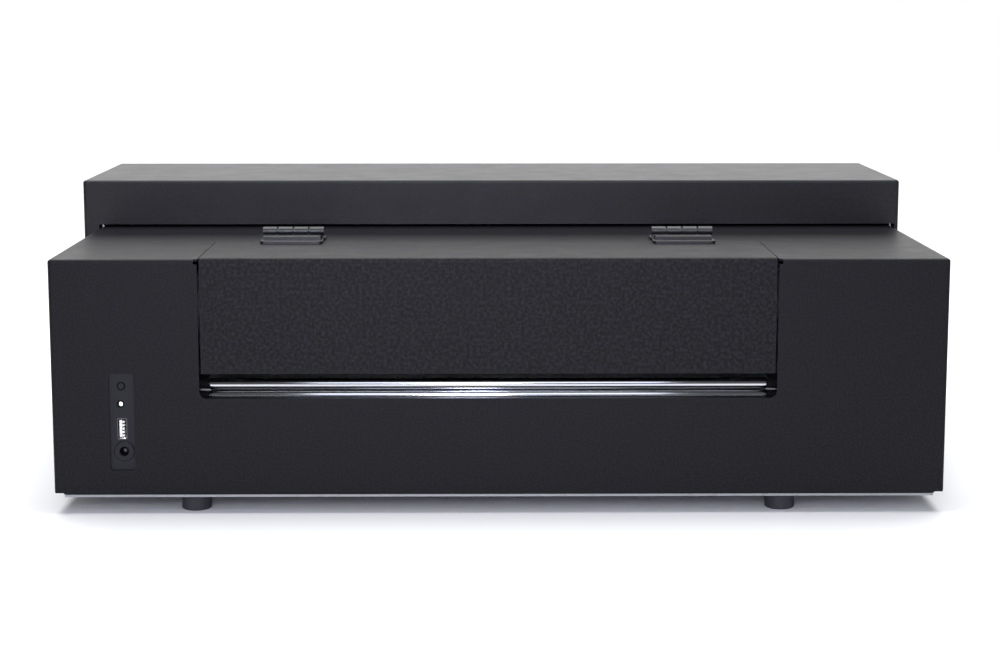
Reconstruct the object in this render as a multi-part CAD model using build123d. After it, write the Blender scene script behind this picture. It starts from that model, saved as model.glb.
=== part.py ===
"""Desktop pass-through flatbed UV printer, in millimetres.

+Z is up, the front faces -Y and the rear face, with the connectors, faces +Y.
The origin is on the surface that the machine stands on, under the middle of its box.
"""
import math
import os

from build123d import *

os.makedirs("parts", exist_ok=True)

# casing
body_width = 600.0
body_height = 159.0
ledge_depth = 207.0
hood_depth = 170.0
hood_rise = 34.9
hood_overhang = 9.0
hood_offset = 4.2
hood_skirt = 40.0
hood_gap = 1.8
pivot_sheet = 1.2
sheet = 1.5
bend_radius = 2.5
flange_width = 14.0
pan_sheet = 1.6
pan_gap = 0.5
pan_inset = 7.0
clearance = 0.35
running_fit = 0.05

# feet and fasteners
foot_radius = 10.0
foot_height = 11.6
foot_inset = 18.5
foot_beyond_frame = 1.1
foot_screw_radius = 2.0
housing_screw_radius = 1.5
housing_screw_head = 1.0
housing_screw_inset = 48.5

# rear flap and its opening
works_offset = 7.6
flap_width = 384.0
flap_face_height = 77.8
flap_top_depth = 100.0
flap_proud = 0.8
flap_gap = 1.4
flap_return = 8.0
slot_height = 16.8
slot_corner = 5.0
relief_size = 2.4
corner_relief = (6.4, 1.3)

# butt hinges on the ledge
hinge_width = 44.0
hinge_half_spacing = 138.0
hinge_axis_depth = 105.5
hinge_axis_rise = 7.5
knuckle_radius = 3.1
knuckle_gap = 1.1
knuckle_count = 4
hinge_pin_radius = 1.5
leaf_depth = 17.0
leaf_sheet = 2.2

# rollers and the flat bed
roller_radius = 3.75
roller_gap = 0.3
roller_end_gap = 7.5
roller_inset = 11.0
infeed_inset = 14.0
journal_radius = 2.0
bush_wall = 1.2
nip_above_lip = 4.25
frame_sheet = 3.0
bed_sheet = 4.0
bed_below_nip = 0.85
bed_rib = 12.0
pulley_radius = 6.2
pulley_width = 6.0
belt_thickness = 1.0
feed_motor_radius = 20.0
feed_motor_length = 32.0
feed_motor_back = 18.5

# print carriage
rail_radius = 5.0
rail_height = 110.0
rail_half_spacing = 48.0
rail_setback = 81.5
support_sheet = 6.0
carriage_width = 90.0
carriage_depth = 130.0
carriage_sheet = 20.0
park_gap = 3.5
head_clearance = 4.0
lamp_width = 34.0
lamp_depth = 60.0
lamp_height = 58.0
cartridge_count = 6
cartridge_pitch = 13.0
cartridge_height = 46.0
fan_radius = 13.0
fan_blades = 7

# connector plate
port_inset = 46.6
port_window = (16.6, 66.0)
port_window_z = 49.4
port_corner = 2.0
button_z = 73.7
led_z = 61.5
usb_z = 44.5
jack_z = 29.3
led_radius = 1.3

# main board and front keys
board_post = 6.0
board_behind_motor = 40.0
board_before_rear = 38.5
key_radius = 6.0
key_height = 100.0
key_insets = (40.0, 66.0)

# worked out from the above
total_depth = ledge_depth + hood_depth
rear_y = total_depth / 2
front_y = -total_depth / 2
half_width = body_width / 2
inner_half = half_width - sheet
pan_top = foot_height + pan_sheet
housing_z = pan_top + pan_gap
ledge_z = housing_z + body_height
hood_top = ledge_z + hood_rise
hood_back_y = rear_y - ledge_depth
hood_half = half_width + hood_overhang
hood_bottom = ledge_z - hood_skirt
inner_rear = rear_y - sheet
front_panel_y = front_y + 2 * sheet + 0.5
flap_bottom = ledge_z + flap_proud - flap_face_height
lip_z = flap_bottom - slot_height
flap_half = flap_width / 2
opening_half = flap_half + flap_gap
flap_front_y = rear_y - flap_top_depth
hinge_y = rear_y - hinge_axis_depth
hinge_z = ledge_z + hinge_axis_rise
lower_roller_z = lip_z + nip_above_lip - roller_radius - roller_gap / 2
upper_roller_z = lower_roller_z + 2 * roller_radius + roller_gap
nip_z = (lower_roller_z + upper_roller_z) / 2
outfeed_y = rear_y - roller_inset
infeed_y = front_y + infeed_inset
bush_radius = journal_radius + running_fit + bush_wall
frame_inner = opening_half + 1.6
frame_outer = frame_inner + frame_sheet
roller_length = 2 * (frame_inner - roller_end_gap)
foot_half_spacing = frame_outer + foot_beyond_frame
bed_z = nip_z - bed_below_nip
rail_z = housing_z + rail_height
rail_line = hood_back_y - rail_setback
support_half = inner_half - flange_width - 2.0
carriage_park = -(support_half + 1.0 - support_sheet - park_gap - carriage_width / 2)
pivot_y = hood_back_y - 3.0
pivot_z = ledge_z + hood_gap + 4.0
carriage_bottom = rail_z - carriage_sheet / 2
head_z = bed_z + head_clearance
feed_x = works_offset + frame_outer + 3.0
feed_motor_z = pan_top + feed_motor_radius + 10.0
feed_motor_y = hood_back_y + feed_motor_back
port_x = half_width - port_inset
drive_z = rail_z + 22.0
drive_y = hood_back_y - 12.5
drive_x = half_width - 25.0
port_face_y = inner_rear
board_z = pan_top + board_post
board_box = (feed_x + 12.0, inner_half - flange_width - 4.0,
             feed_motor_y + board_behind_motor, rear_y - board_before_rear)
key_z = housing_z + key_height
sides = {"left": -1, "right": 1}


def put(shape, name):
    """Write a piece, or a list of like pieces, with the whole machine's box centred on x = 0."""
    pieces = shape if isinstance(shape, list) else [shape]
    centred = [Pos(-hood_offset, 0, 0) * piece for piece in pieces]
    whole = centred[0] if len(centred) == 1 else Compound(children=centred)
    export_step(whole, f"parts/{name}.step")


def block(x0, x1, y0, y1, z0, z1):
    """A box between two corners."""
    centre = ((x0 + x1) / 2, (y0 + y1) / 2, (z0 + z1) / 2)
    return Pos(*centre) * Box(abs(x1 - x0), abs(y1 - y0), abs(z1 - z0))


def rod_x(radius, x0, x1, y, z):
    """A round bar along X."""
    return Pos((x0 + x1) / 2, y, z) * Rot(0, 90, 0) * Cylinder(radius, abs(x1 - x0))


def rod_y(radius, x, y0, y1, z):
    """A round bar along Y."""
    return Pos(x, (y0 + y1) / 2, z) * Rot(90, 0, 0) * Cylinder(radius, abs(y1 - y0))


def rod_z(radius, x, y, z0, z1):
    """A round bar along Z."""
    return Pos(x, y, (z0 + z1) / 2) * Cylinder(radius, abs(z1 - z0))


def rounded_y(width, height, corner, x, z, y0, y1):
    """A rounded rectangle seen from the rear, as deep as y0 to y1."""
    outline = RectangleRounded(width, height, corner)
    return Pos(x, y1, z) * Rot(90, 0, 0) * extrude(outline, y1 - y0)


def edges_at(shape, axis, spans):
    """Edges along an axis whose middle lies in the given spans of x, y and z."""
    chosen = []
    for edge in shape.edges().filter_by(axis):
        middle = edge.center()
        inside = [low <= value <= high for value, (low, high) in zip(tuple(middle), spans)]
        if all(inside):
            chosen.append(edge)
    return chosen


# ---- casing ----

def housing_screw_places():
    """Screws that hold the housing down to the pan."""
    side_x = half_width - sheet - flange_width + 4.0
    rear_line = inner_rear - flange_width / 2
    reach = total_depth / 2 - housing_screw_inset
    places = [(s * side_x, y) for s in (-1, 1) for y in (-reach, 0.0, reach)]
    places += [(share * side_x, rear_line) for share in (-0.83, -0.28, 0.28, 0.83)]
    return places


def foot_places():
    """Foot names and centres."""
    rows = {"rear": rear_y - foot_inset, "front": front_y + foot_inset}
    return {
        f"foot_{row}_{side}": (works_offset + sign * foot_half_spacing, y)
        for row, y in rows.items()
        for side, sign in sides.items()
    }


def base_pan():
    """Bare steel floor, with raised pads under the housing screws."""
    half = half_width - pan_inset
    pan = block(-half, half, front_panel_y - sheet, rear_y - 0.5, foot_height, pan_top)
    for x, y in housing_screw_places():
        pan += rod_z(4.5, x, y, pan_top, housing_z)
        pan -= rod_z(housing_screw_radius + 0.1, x, y, foot_height, housing_z)
    for x, y in foot_places().values():
        pan -= rod_z(foot_screw_radius + 0.1, x, y, foot_height, pan_top)
    for x, y in board_posts():
        pan += rod_z(3.0, x, y, pan_top, board_z)
    return pan


def rear_housing():
    """Rear and side walls with the ledge, in one folded sheet, with turned-in lower edges."""
    top_front = pivot_y - 12.0
    wall_front = front_panel_y
    outer = block(-half_width, half_width, wall_front, rear_y, housing_z, ledge_z)
    rear_corners = edges_at(outer, Axis.Z, ((-400, 400), (0, 400), (0, 400)))
    outer = fillet(rear_corners, bend_radius)
    whole = (-400, 400)
    top_edges = edges_at(outer, Axis.Y, (whole, whole, (ledge_z - 1, ledge_z + 1)))
    top_edges += edges_at(outer, Axis.X, (whole, (rear_y - 5, rear_y + 1), (ledge_z - 1, ledge_z + 1)))
    outer = fillet(top_edges, bend_radius - 0.4)
    shell = outer - block(-inner_half, inner_half, wall_front, inner_rear, housing_z, ledge_z - sheet)
    shell -= block(-half_width, half_width, wall_front, top_front, ledge_z - sheet - 1, ledge_z + 1)
    lower_edge = block(-inner_half, inner_half, wall_front + sheet, inner_rear, housing_z, housing_z + sheet)
    flange_inner = inner_half - flange_width
    lower_edge -= block(-flange_inner, flange_inner, wall_front, inner_rear - flange_width,
                        housing_z, housing_z + sheet)
    for x, y in housing_screw_places():
        lower_edge -= rod_z(housing_screw_radius, x, y, housing_z, housing_z + sheet)
    shell += lower_edge
    relief_width, relief_height = corner_relief
    for sign in sides.values():
        shell -= block(sign * (half_width - relief_width), sign * (half_width + 1), inner_rear - sheet - 0.2,
                       rear_y + 1, housing_z - 1, housing_z + relief_height)
    shell -= flap_opening()
    lip = block(works_offset - opening_half + slot_corner, works_offset + opening_half - slot_corner,
                inner_rear - 4.5, inner_rear, lip_z - sheet, lip_z)
    shell += lip
    window_z = housing_z + port_window_z
    shell -= rounded_y(*port_window, port_corner, port_x - 0.2, window_z, inner_rear - 1, rear_y + 1)
    return shell


def flap_opening():
    """The opening behind the flap: down the rear wall and forward along the ledge."""
    left = works_offset - opening_half
    right = works_offset + opening_half
    wall_cut = block(left, right, inner_rear - 1, rear_y + 1, lip_z, ledge_z + 1)
    lower = edges_at(wall_cut, Axis.Y, ((-400, 400), (0, 400), (lip_z - 1, lip_z + 1)))
    wall_cut = fillet(lower, slot_corner)
    top_cut = block(left, right, flap_front_y - flap_gap, rear_y + 1, ledge_z - sheet - 1, ledge_z + 1)
    cut = wall_cut + top_cut
    for edge, sign in ((left, -1), (right, 1)):
        cut += block(edge, edge + sign * relief_size, inner_rear - 1, rear_y + 1,
                     ledge_z - 1.4 * relief_size, ledge_z + 1)
    return cut


def rear_flap():
    """L-shaped flap with turned-in ends and lower edge."""
    top = ledge_z + flap_proud
    left = works_offset - flap_half
    right = works_offset + flap_half
    outer = block(left, right, flap_front_y, rear_y, flap_bottom, top)
    bend = edges_at(outer, Axis.X, ((-400, 400), (rear_y - 1, rear_y + 1), (top - 1, top + 1)))
    outer = fillet(bend, bend_radius)
    hollow = block(left + sheet, right - sheet, flap_front_y - 1, inner_rear,
                   flap_bottom + sheet, top - sheet)
    waste = block(left - 1, right + 1, flap_front_y - 1, inner_rear - flap_return,
                  flap_bottom - 1, top - sheet - flap_return)
    return outer - hollow - waste


def front_housing():
    """Front wall between the side walls, with the feed slot and the key holes."""
    top = hood_bottom + 8.0
    panel = block(-inner_half + 0.3, inner_half - 0.3, front_panel_y, front_panel_y + sheet,
                  housing_z, top)
    for sign in sides.values():
        inner = sign * (inner_half - 0.3 - sheet)
        panel += block(inner, sign * (inner_half - 0.3), front_panel_y, front_panel_y + 12.0,
                       housing_z + 2 * sheet, top)
    slot_half = roller_length / 2 + 3.0
    panel -= rounded_y(2 * slot_half, slot_height + 3.0, slot_corner, works_offset, nip_z,
                       front_panel_y - 1, front_panel_y + sheet + 1)
    for x in key_places().values():
        panel -= rod_y(key_radius + 0.2, x, front_panel_y - 1, front_panel_y + sheet + 1, key_z)
    return panel


def hood():
    """Lift-up lid: top, deep front and side skirts, and a short rear wall over the ledge."""
    left = hood_offset - hood_half
    right = hood_offset + hood_half
    outer = block(left, right, front_y, hood_back_y, hood_bottom, hood_top)
    uprights = edges_at(outer, Axis.Z, ((-400, 400), (-400, 400), (0, 400)))
    outer = fillet(uprights, bend_radius)
    whole = (-400, 400)
    rim = edges_at(outer, Axis.X, (whole, whole, (hood_top - 1, hood_top + 1)))
    rim += edges_at(outer, Axis.Y, (whole, whole, (hood_top - 1, hood_top + 1)))
    outer = fillet(rim, bend_radius - 0.4)
    hollow = block(left + sheet, right - sheet, front_y + sheet, hood_back_y - sheet,
                   hood_bottom - 1, hood_top - sheet)
    shell = outer - hollow
    body_gap = half_width + pivot_sheet + 0.4
    shell -= block(-body_gap, body_gap, hood_back_y - sheet - 0.5, hood_back_y + 1,
                   hood_bottom - 1, ledge_z + hood_gap)
    for sign in sides.values():
        skirt = hood_offset + sign * (hood_half - sheet)
        boss_face = sign * (half_width + pivot_sheet + 0.6)
        boss = block(boss_face, skirt, pivot_y - 3.0, hood_back_y, pivot_z - 3.0, pivot_z + 3.0)
        bore = rod_x(hinge_pin_radius + running_fit, boss_face - sign, skirt, pivot_y, pivot_z)
        shell += boss
        shell -= bore
    return shell


def hood_pivot(sign):
    """Plate on the outside of the side wall, with a stub pin that the hood turns on."""
    inner_x = sign * half_width
    outer_x = sign * (half_width + pivot_sheet)
    reach = pivot_y + 0.9
    finger_z = pivot_z - 1.2
    outline = [
        (pivot_y - 24.0, hood_bottom + 12.0), (pivot_y - 9.0, hood_bottom + 12.0),
        (pivot_y - 9.0, finger_z), (reach, finger_z), (reach, pivot_z + 1.2),
        (pivot_y - 4.0, pivot_z + 3.4), (pivot_y - 24.0, pivot_z + 3.4),
    ]
    plate = extrude(Plane.YZ * make_face(Polyline(*outline, close=True)), pivot_sheet)
    plate = Pos(min(inner_x, outer_x), 0, 0) * plate
    pin_end = hood_offset + sign * (hood_half - sheet - 0.4)
    return plate + rod_x(hinge_pin_radius, outer_x - 0.4 * sign, pin_end, pivot_y, pivot_z)


def foot(x, y):
    """Rubber foot with a screw well."""
    body = rod_z(foot_radius, x, y, 0, foot_height)
    body = chamfer(body.edges().group_by(Axis.Z)[0], 0.8)
    body -= rod_z(4.6, x, y, 0, 7.5)
    return body - rod_z(foot_screw_radius, x, y, 0, foot_height)


def foot_screws():
    """Pan head screws up through the feet."""
    screws = []
    for x, y in foot_places().values():
        screw = rod_z(3.8, x, y, 5.0, 7.5) + rod_z(foot_screw_radius, x, y, 7.0, pan_top + 4.0)
        screws.append(screw - Pos(x, y, 5.0) * Box(5.0, 0.9, 2.0))
    return screws


def housing_screws():
    """Screws up through the pan into the housing's turned-in edge."""
    screws = []
    for x, y in housing_screw_places():
        shank = rod_z(housing_screw_radius, x, y, foot_height - 0.5, housing_z + sheet + 3.0)
        screws.append(rod_z(2.8, x, y, foot_height - housing_screw_head, foot_height) + shank)
    return screws


# ---- flap hinges ----

def hinge_centre(sign):
    return works_offset + sign * hinge_half_spacing


def knuckles(centre, mine):
    """Every second knuckle of a hinge, from number mine."""
    pitch = hinge_width / knuckle_count
    start = centre - hinge_width / 2
    spans = []
    for number in range(mine, knuckle_count, 2):
        x0 = start + number * pitch + knuckle_gap / 2
        spans.append((x0, x0 + pitch - knuckle_gap))
    return spans


def leaf(centre, side, seat_z, mine):
    """A hinge leaf: a thin foot, a raised cover over its screws, and webs up to its knuckles."""
    near = hinge_y + side * (knuckle_radius + 2.4)
    far = near + side * leaf_depth
    half = hinge_width / 2
    shape = block(centre - half, centre + half, min(near, far), max(near, far), seat_z, seat_z + leaf_sheet)
    shape = fillet(shape.edges().filter_by(Axis.Z), 3.0)
    cover_far = near + side * (leaf_depth - 6.0)
    cover_top = hinge_z - knuckle_radius + 1.2
    cover = block(centre - half + 2, centre + half - 2, min(near, cover_far), max(near, cover_far),
                  seat_z + leaf_sheet, cover_top)
    cover = fillet(cover.edges().group_by(Axis.Z)[-1], 0.6)
    shape = fillet(shape.edges().group_by(Axis.Z)[-1], 0.7)
    shape += cover
    reach = hinge_y + side * 0.5
    for x0, x1 in knuckles(centre, mine):
        barrel = rod_x(knuckle_radius, x0, x1, hinge_y, hinge_z)
        web = block(x0, x1, min(reach, near + side), max(reach, near + side),
                    cover_top - 2.2, cover_top - 0.2)
        shape += barrel + web
        shape -= rod_x(hinge_pin_radius + running_fit, x0 - 1, x1 + 1, hinge_y, hinge_z)
    return shape


def hinge_pins():
    """A pin through the knuckles of each hinge."""
    half = hinge_width / 2 - knuckle_gap / 2
    pins = []
    for sign in sides.values():
        centre = hinge_centre(sign)
        pins.append(rod_x(hinge_pin_radius, centre - half, centre + half, hinge_y, hinge_z))
    return pins


# ---- rollers, bed and feed drive ----

roller_lines = {
    "outfeed_roller_lower": (outfeed_y, lower_roller_z),
    "outfeed_roller_upper": (outfeed_y, upper_roller_z),
    "infeed_roller_lower": (infeed_y, lower_roller_z),
    "infeed_roller_upper": (infeed_y, upper_roller_z),
}


def roller(name):
    """Ground steel roller with journals; the lower ones carry their drive pulley's seat."""
    y, z = roller_lines[name]
    half = roller_length / 2
    drive_end = frame_outer + 1.5
    if "lower" in name:
        drive_end = feed_x - works_offset + pulley_width + 1.0
    body = rod_x(roller_radius, works_offset - half, works_offset + half, y, z)
    body = chamfer(body.edges().filter_by(GeomType.CIRCLE), 0.4)
    return body + rod_x(journal_radius, works_offset - frame_outer - 1.5, works_offset + drive_end, y, z)


def roller_bushes():
    """Plain bushes in the side frames, one for each journal."""
    bushes = []
    for y, z in roller_lines.values():
        for sign in (-1, 1):
            inner = works_offset + sign * (roller_length / 2 + clearance)
            outer = works_offset + sign * frame_outer
            bush = rod_x(bush_radius, inner, outer, y, z)
            bore = rod_x(journal_radius + running_fit, inner - sign, outer + sign, y, z)
            bushes.append(bush - bore)
    return bushes


def side_frame(sign):
    """Upright plate: tall at the rear, low under the carriage, with a tongue for the infeed rollers."""
    front = infeed_y - 8.0
    rear = outfeed_y + 4.2
    low = bed_z - 0.6
    clear_z = housing_z + sheet + 0.5
    step = inner_rear - flange_width - 1.0
    outline = [
        (front, pan_top), (step, pan_top), (step, clear_z), (rear, clear_z),
        (rear, ledge_z - 12.0), (hood_back_y + 4.0, ledge_z - 12.0), (hood_back_y + 4.0, low),
        (infeed_y + 8.0, low), (infeed_y + 8.0, upper_roller_z + 8.0),
        (front, upper_roller_z + 8.0),
    ]
    plate = extrude(Plane.YZ * make_face(Polyline(*outline, close=True)), frame_sheet)
    inner = works_offset + sign * frame_inner
    outer = works_offset + sign * frame_outer
    plate = Pos(min(inner, outer), 0, 0) * plate
    foot_edge = outer + sign * 10.0
    plate += block(outer, foot_edge, front + 10, rear - 20, pan_top, pan_top + frame_sheet)
    for x, y in foot_places().values():
        plate -= rod_z(foot_screw_radius + 0.1, x, y, pan_top - 1, pan_top + frame_sheet + 1)
    for y, z in roller_lines.values():
        plate -= rod_x(bush_radius, min(inner, outer) - 1, max(inner, outer) + 1, y, z)
    return plate


def platen():
    """Flat bed between the roller pairs, with ribs below."""
    front = infeed_y + roller_radius + 4.7
    rear = outfeed_y - roller_radius - 4.7
    half = frame_inner
    bed = block(works_offset - half, works_offset + half, front, rear, bed_z - bed_sheet, bed_z)
    for y in (front + 12.0, rail_line - 30.0, rail_line + 30.0, rear - 12.0):
        bed += block(works_offset - half, works_offset + half, y - 1.5, y + 1.5,
                     bed_z - bed_sheet - bed_rib, bed_z - bed_sheet)
    return bed


def feed_line():
    """Centres of the feed belt's pulleys, seen along X."""
    return {
        "outfeed_pulley": (outfeed_y, lower_roller_z),
        "infeed_pulley": (infeed_y, lower_roller_z),
        "feed_motor_pulley": (feed_motor_y, feed_motor_z),
    }


def feed_pulley(name):
    """Flanged pulley on a journal or on the feed motor's shaft."""
    y, z = feed_line()[name]
    shape = rod_x(pulley_radius, feed_x, feed_x + pulley_width, y, z)
    if name == "feed_motor_pulley":
        shaft = rod_x(journal_radius, feed_x - 1.0, feed_x + pulley_width + 6.0, y, z)
        return shape + shaft
    return shape - rod_x(journal_radius, feed_x - 1, feed_x + pulley_width + 1, y, z)


def feed_belt():
    """Belt loop round the two lower rollers' pulleys and the motor's."""
    corners = make_face(Polyline(*feed_line().values(), close=True))
    inner = offset(corners, amount=pulley_radius + clearance)
    outer = offset(corners, amount=pulley_radius + clearance + belt_thickness)
    loop = extrude(Plane.YZ * (outer - inner), pulley_width - 1.0)
    return Pos(feed_x + 0.5, 0, 0) * loop


def feed_motor():
    """Motor on its own cradle, beside the right side frame."""
    face = feed_x + pulley_width + 3.0
    back = face + feed_motor_length
    body = rod_x(feed_motor_radius, face, back, feed_motor_y, feed_motor_z)
    body = chamfer(body.edges().filter_by(GeomType.CIRCLE), 1.5)
    half = feed_motor_radius - 2
    body += block(face + 3, back - 3, feed_motor_y - half, feed_motor_y + half,
                  pan_top, feed_motor_z - feed_motor_radius + 4)
    return body - rod_x(journal_radius + running_fit, face - 1, face + 8.0, feed_motor_y, feed_motor_z)


# ---- print carriage ----

def rail(side):
    y = rail_line + side * rail_half_spacing
    return rod_x(rail_radius, -support_half, support_half, y, rail_z)


def rail_support(sign):
    """End plate for both rails, with a wing behind it for the belt's pulley or motor."""
    outer = sign * (support_half + 1.0)
    inner = outer - sign * support_sheet
    front = rail_line - rail_half_spacing - 16.0
    wing_y = drive_y + 6.0
    shape = block(inner, outer, front, wing_y + 3.0, pan_top, rail_z + 12.0)
    shape -= block(inner - 1, outer + 1, front + 22.0, wing_y - 16.0, pan_top + 14.0, rail_z - 26.0)
    wing_inner = sign * (drive_x - 24.0)
    shape += block(wing_inner, outer, wing_y, wing_y + 3.0, rail_z - 6.0, drive_z + 21.0)
    for side in (-1, 1):
        y = rail_line + side * rail_half_spacing
        shape -= rod_x(rail_radius, inner - sign, sign * support_half, y, rail_z)
    if sign < 0:
        shape += rod_y(2.5, sign * drive_x, drive_y - 5.0, wing_y, drive_z)
        return shape
    return shape - rod_y(9.0, sign * drive_x, wing_y - 1, wing_y + 4, drive_z)


def belt_pulley(sign):
    """Belt pulley: driven on the motor's shaft at the right, idling on a fixed axle at the left."""
    x = sign * drive_x
    shape = rod_y(pulley_radius, x, drive_y - 3.0, drive_y + 3.0, drive_z)
    if sign < 0:
        return shape - rod_y(2.5 + running_fit, x, drive_y - 4.0, drive_y + 4.0, drive_z)
    return shape + rod_y(2.5, x, drive_y + 3.0, drive_y + 20.0, drive_z)


def carriage_belt():
    """Belt loop behind the carriage."""
    inner_radius = pulley_radius + clearance
    outer_radius = inner_radius + belt_thickness
    outside = SlotCenterToCenter(2 * drive_x, 2 * outer_radius)
    loop = outside - SlotCenterToCenter(2 * drive_x, 2 * inner_radius)
    return Pos(0, drive_y + 2.5, drive_z) * Rot(90, 0, 0) * extrude(loop, 5.0)


def carriage_motor():
    """Motor behind the right wing."""
    face = drive_y + 9.0
    body = block(drive_x - 19.0, drive_x + 19.0, face, face + 32.0, drive_z - 19.0, drive_z + 19.0)
    body = chamfer(body.edges().filter_by(Axis.Y), 4.0)
    return body - rod_y(2.5 + running_fit, drive_x, face - 1, face + 13.0, drive_z)


def carriage_body():
    """Sliding plate on both rails, with a clamp round the belt's lower run."""
    x0 = carriage_park - carriage_width / 2
    x1 = carriage_park + carriage_width / 2
    y0 = rail_line - carriage_depth / 2
    y1 = rail_line + carriage_depth / 2
    shape = block(x0, x1, y0, y1, carriage_bottom, carriage_bottom + carriage_sheet)
    shape = fillet(shape.edges().filter_by(Axis.Z), 4.0)
    run_z = drive_z - pulley_radius - clearance - belt_thickness / 2
    clamp = block(carriage_park - 14, carriage_park + 14, y1 - 1, drive_y + 4.6,
                  carriage_bottom + 4, run_z + 4.5)
    slot = block(carriage_park - 15, carriage_park + 15, drive_y - 2.5 - clearance, drive_y + 2.5 + clearance,
                 run_z - belt_thickness / 2 - clearance, run_z + belt_thickness / 2 + clearance)
    shape += clamp
    shape -= slot
    for side in (-1, 1):
        y = rail_line + side * rail_half_spacing
        shape -= rod_x(rail_radius + running_fit, x0 - 1, x1 + 1, y, rail_z)
    return shape


def print_head():
    """Head under the carriage, with its nozzle plate."""
    x = carriage_park - 3.0
    body = block(x - 19, x + 19, rail_line - 22, rail_line + 22, head_z + 5, carriage_bottom)
    body += block(x - 15, x + 15, rail_line - 18, rail_line + 18, head_z, head_z + 5)
    return body


def ink_cartridges():
    """Row of slim cartridges on the carriage."""
    bottom = carriage_bottom + carriage_sheet
    first = carriage_park - (cartridge_count - 1) * cartridge_pitch / 2
    tanks = []
    for number in range(cartridge_count):
        x = first + number * cartridge_pitch
        tank = block(x - 6, x + 6, rail_line - 40, rail_line + 30, bottom, bottom + cartridge_height)
        tank = chamfer(edges_at(tank, Axis.X, ((-400, 400), (-400, rail_line), (bottom + 1, 400))), 8.0)
        tanks.append(tank)
    return tanks


def lamp_middle():
    return carriage_park + carriage_width / 2 + lamp_width / 2


def uv_lamp():
    """UV LED lamp on the carriage's side: finned housing with a round throat for its fan."""
    x = lamp_middle()
    bottom = head_z + 5.0
    top = bottom + lamp_height
    half = lamp_width / 2
    shape = block(x - half, x + half, rail_line - lamp_depth / 2, rail_line + lamp_depth / 2, bottom, top)
    shape -= rod_z(fan_radius + 1.0, x, rail_line, top - 9.0, top + 1)
    for number in range(6):
        z = bottom + 8.0 + number * 6.0
        shape -= block(x + half - 5, x + half + 1, rail_line - 24, rail_line + 24, z, z + 3.0)
    shape += rod_z(2.0, x, rail_line, top - 10.0, top - 2.0)
    return shape


def lamp_lens():
    """Clear window under the lamp."""
    x = lamp_middle()
    return block(x - 12, x + 12, rail_line - 24, rail_line + 24, head_z + 3.0, head_z + 5.0)


def lamp_fan():
    """Fan rotor in the lamp's throat."""
    x = lamp_middle()
    top = head_z + 5.0 + lamp_height
    rotor = rod_z(5.0, x, rail_line, top - 8.0, top - 1.5)
    blade = Pos(fan_radius / 2 + 1.5, 0, 0) * Rot(35, 0, 0) * Box(fan_radius - 4.0, 6.0, 0.8)
    for number in range(fan_blades):
        rotor += Pos(x, rail_line, top - 4.7) * Rot(0, 0, number * 360 / fan_blades) * blade
    return rotor - rod_z(2.0 + running_fit, x, rail_line, top - 9.0, top - 1.9)


def cap_station():
    """Pillar that seals the head when the carriage is parked."""
    x = carriage_park - 3.0
    body = block(x - 22, x + 22, rail_line - 26, rail_line + 26, pan_top, pan_top + 30)
    body += block(x - 17, x + 17, rail_line - 20, rail_line + 20, pan_top + 30, head_z - 9.0)
    return body


def cap_pad():
    """Soft rim that the head parks over."""
    x = carriage_park - 3.0
    pad = block(x - 18, x + 18, rail_line - 21, rail_line + 21, head_z - 9.0, head_z - clearance)
    return pad - block(x - 15.5, x + 15.5, rail_line - 18.5, rail_line + 18.5, head_z - 5.0, head_z)


def waste_tank():
    """Tank for purged ink behind the cap station."""
    back = hood_back_y + 28.5
    tank = block(-inner_half + flange_width + 2, works_offset - frame_outer - 16, back, back + 110.0,
                 pan_top, pan_top + 70.0)
    tank = fillet(tank.edges().filter_by(Axis.Z), 5.0)
    return tank + rod_z(9.0, carriage_park, back + 20.0, pan_top + 70.0, pan_top + 78.0)


# ---- electronics and keys ----

def board_posts():
    x0, x1, y0, y1 = board_box
    return [(x, y) for x in (x0 + 6, x1 - 6) for y in (y0 + 6, y1 - 6)]


def control_board():
    """Main board with its larger components."""
    x0, x1, y0, y1 = board_box
    board = block(x0, x1, y0, y1, board_z, board_z + 1.6)
    top = board_z + 1.6
    board += block(x0 + 18, x0 + 38, y0 + 30, y0 + 50, top, top + 2.5)
    board += block(x0 + 14, x0 + 30, y0 + 66, y0 + 92, top, top + 9.0)
    for number in range(4):
        board += rod_z(4.0, x1 - 12, y0 + 24 + 14 * number, top, top + 12.0)
    return board


def key_places():
    return {name: inset - half_width for name, inset in zip(("power_key", "feed_key"), key_insets)}


def key(name):
    """Round front key with a retaining collar behind the panel."""
    x = key_places()[name]
    face = front_panel_y - 1.8
    cap = rod_y(key_radius, x, face, front_panel_y + 6.0, key_z)
    cap = chamfer(cap.edges().group_by(Axis.Y)[0], 0.6)
    return cap + rod_y(key_radius + 1.2, x, front_panel_y + sheet + clearance,
                       front_panel_y + sheet + clearance + 1.5, key_z)


def key_board():
    """Small board with a switch behind each front key."""
    y = front_panel_y + 9.0
    xs = list(key_places().values())
    board = block(min(xs) - 14, max(xs) + 14, y, y + 1.6, key_z - 12, key_z + 12)
    for x in xs:
        board += block(x - 3, x + 3, y - 1.2, y, key_z - 3, key_z + 3)
    for x in (min(xs) - 11, max(xs) + 11):
        board += rod_y(2.0, x, front_panel_y + sheet, y, key_z + 9)
        board += rod_y(2.0, x, front_panel_y + sheet, y, key_z - 9)
    return board


def port_hole_z(height):
    return housing_z + height


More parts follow.
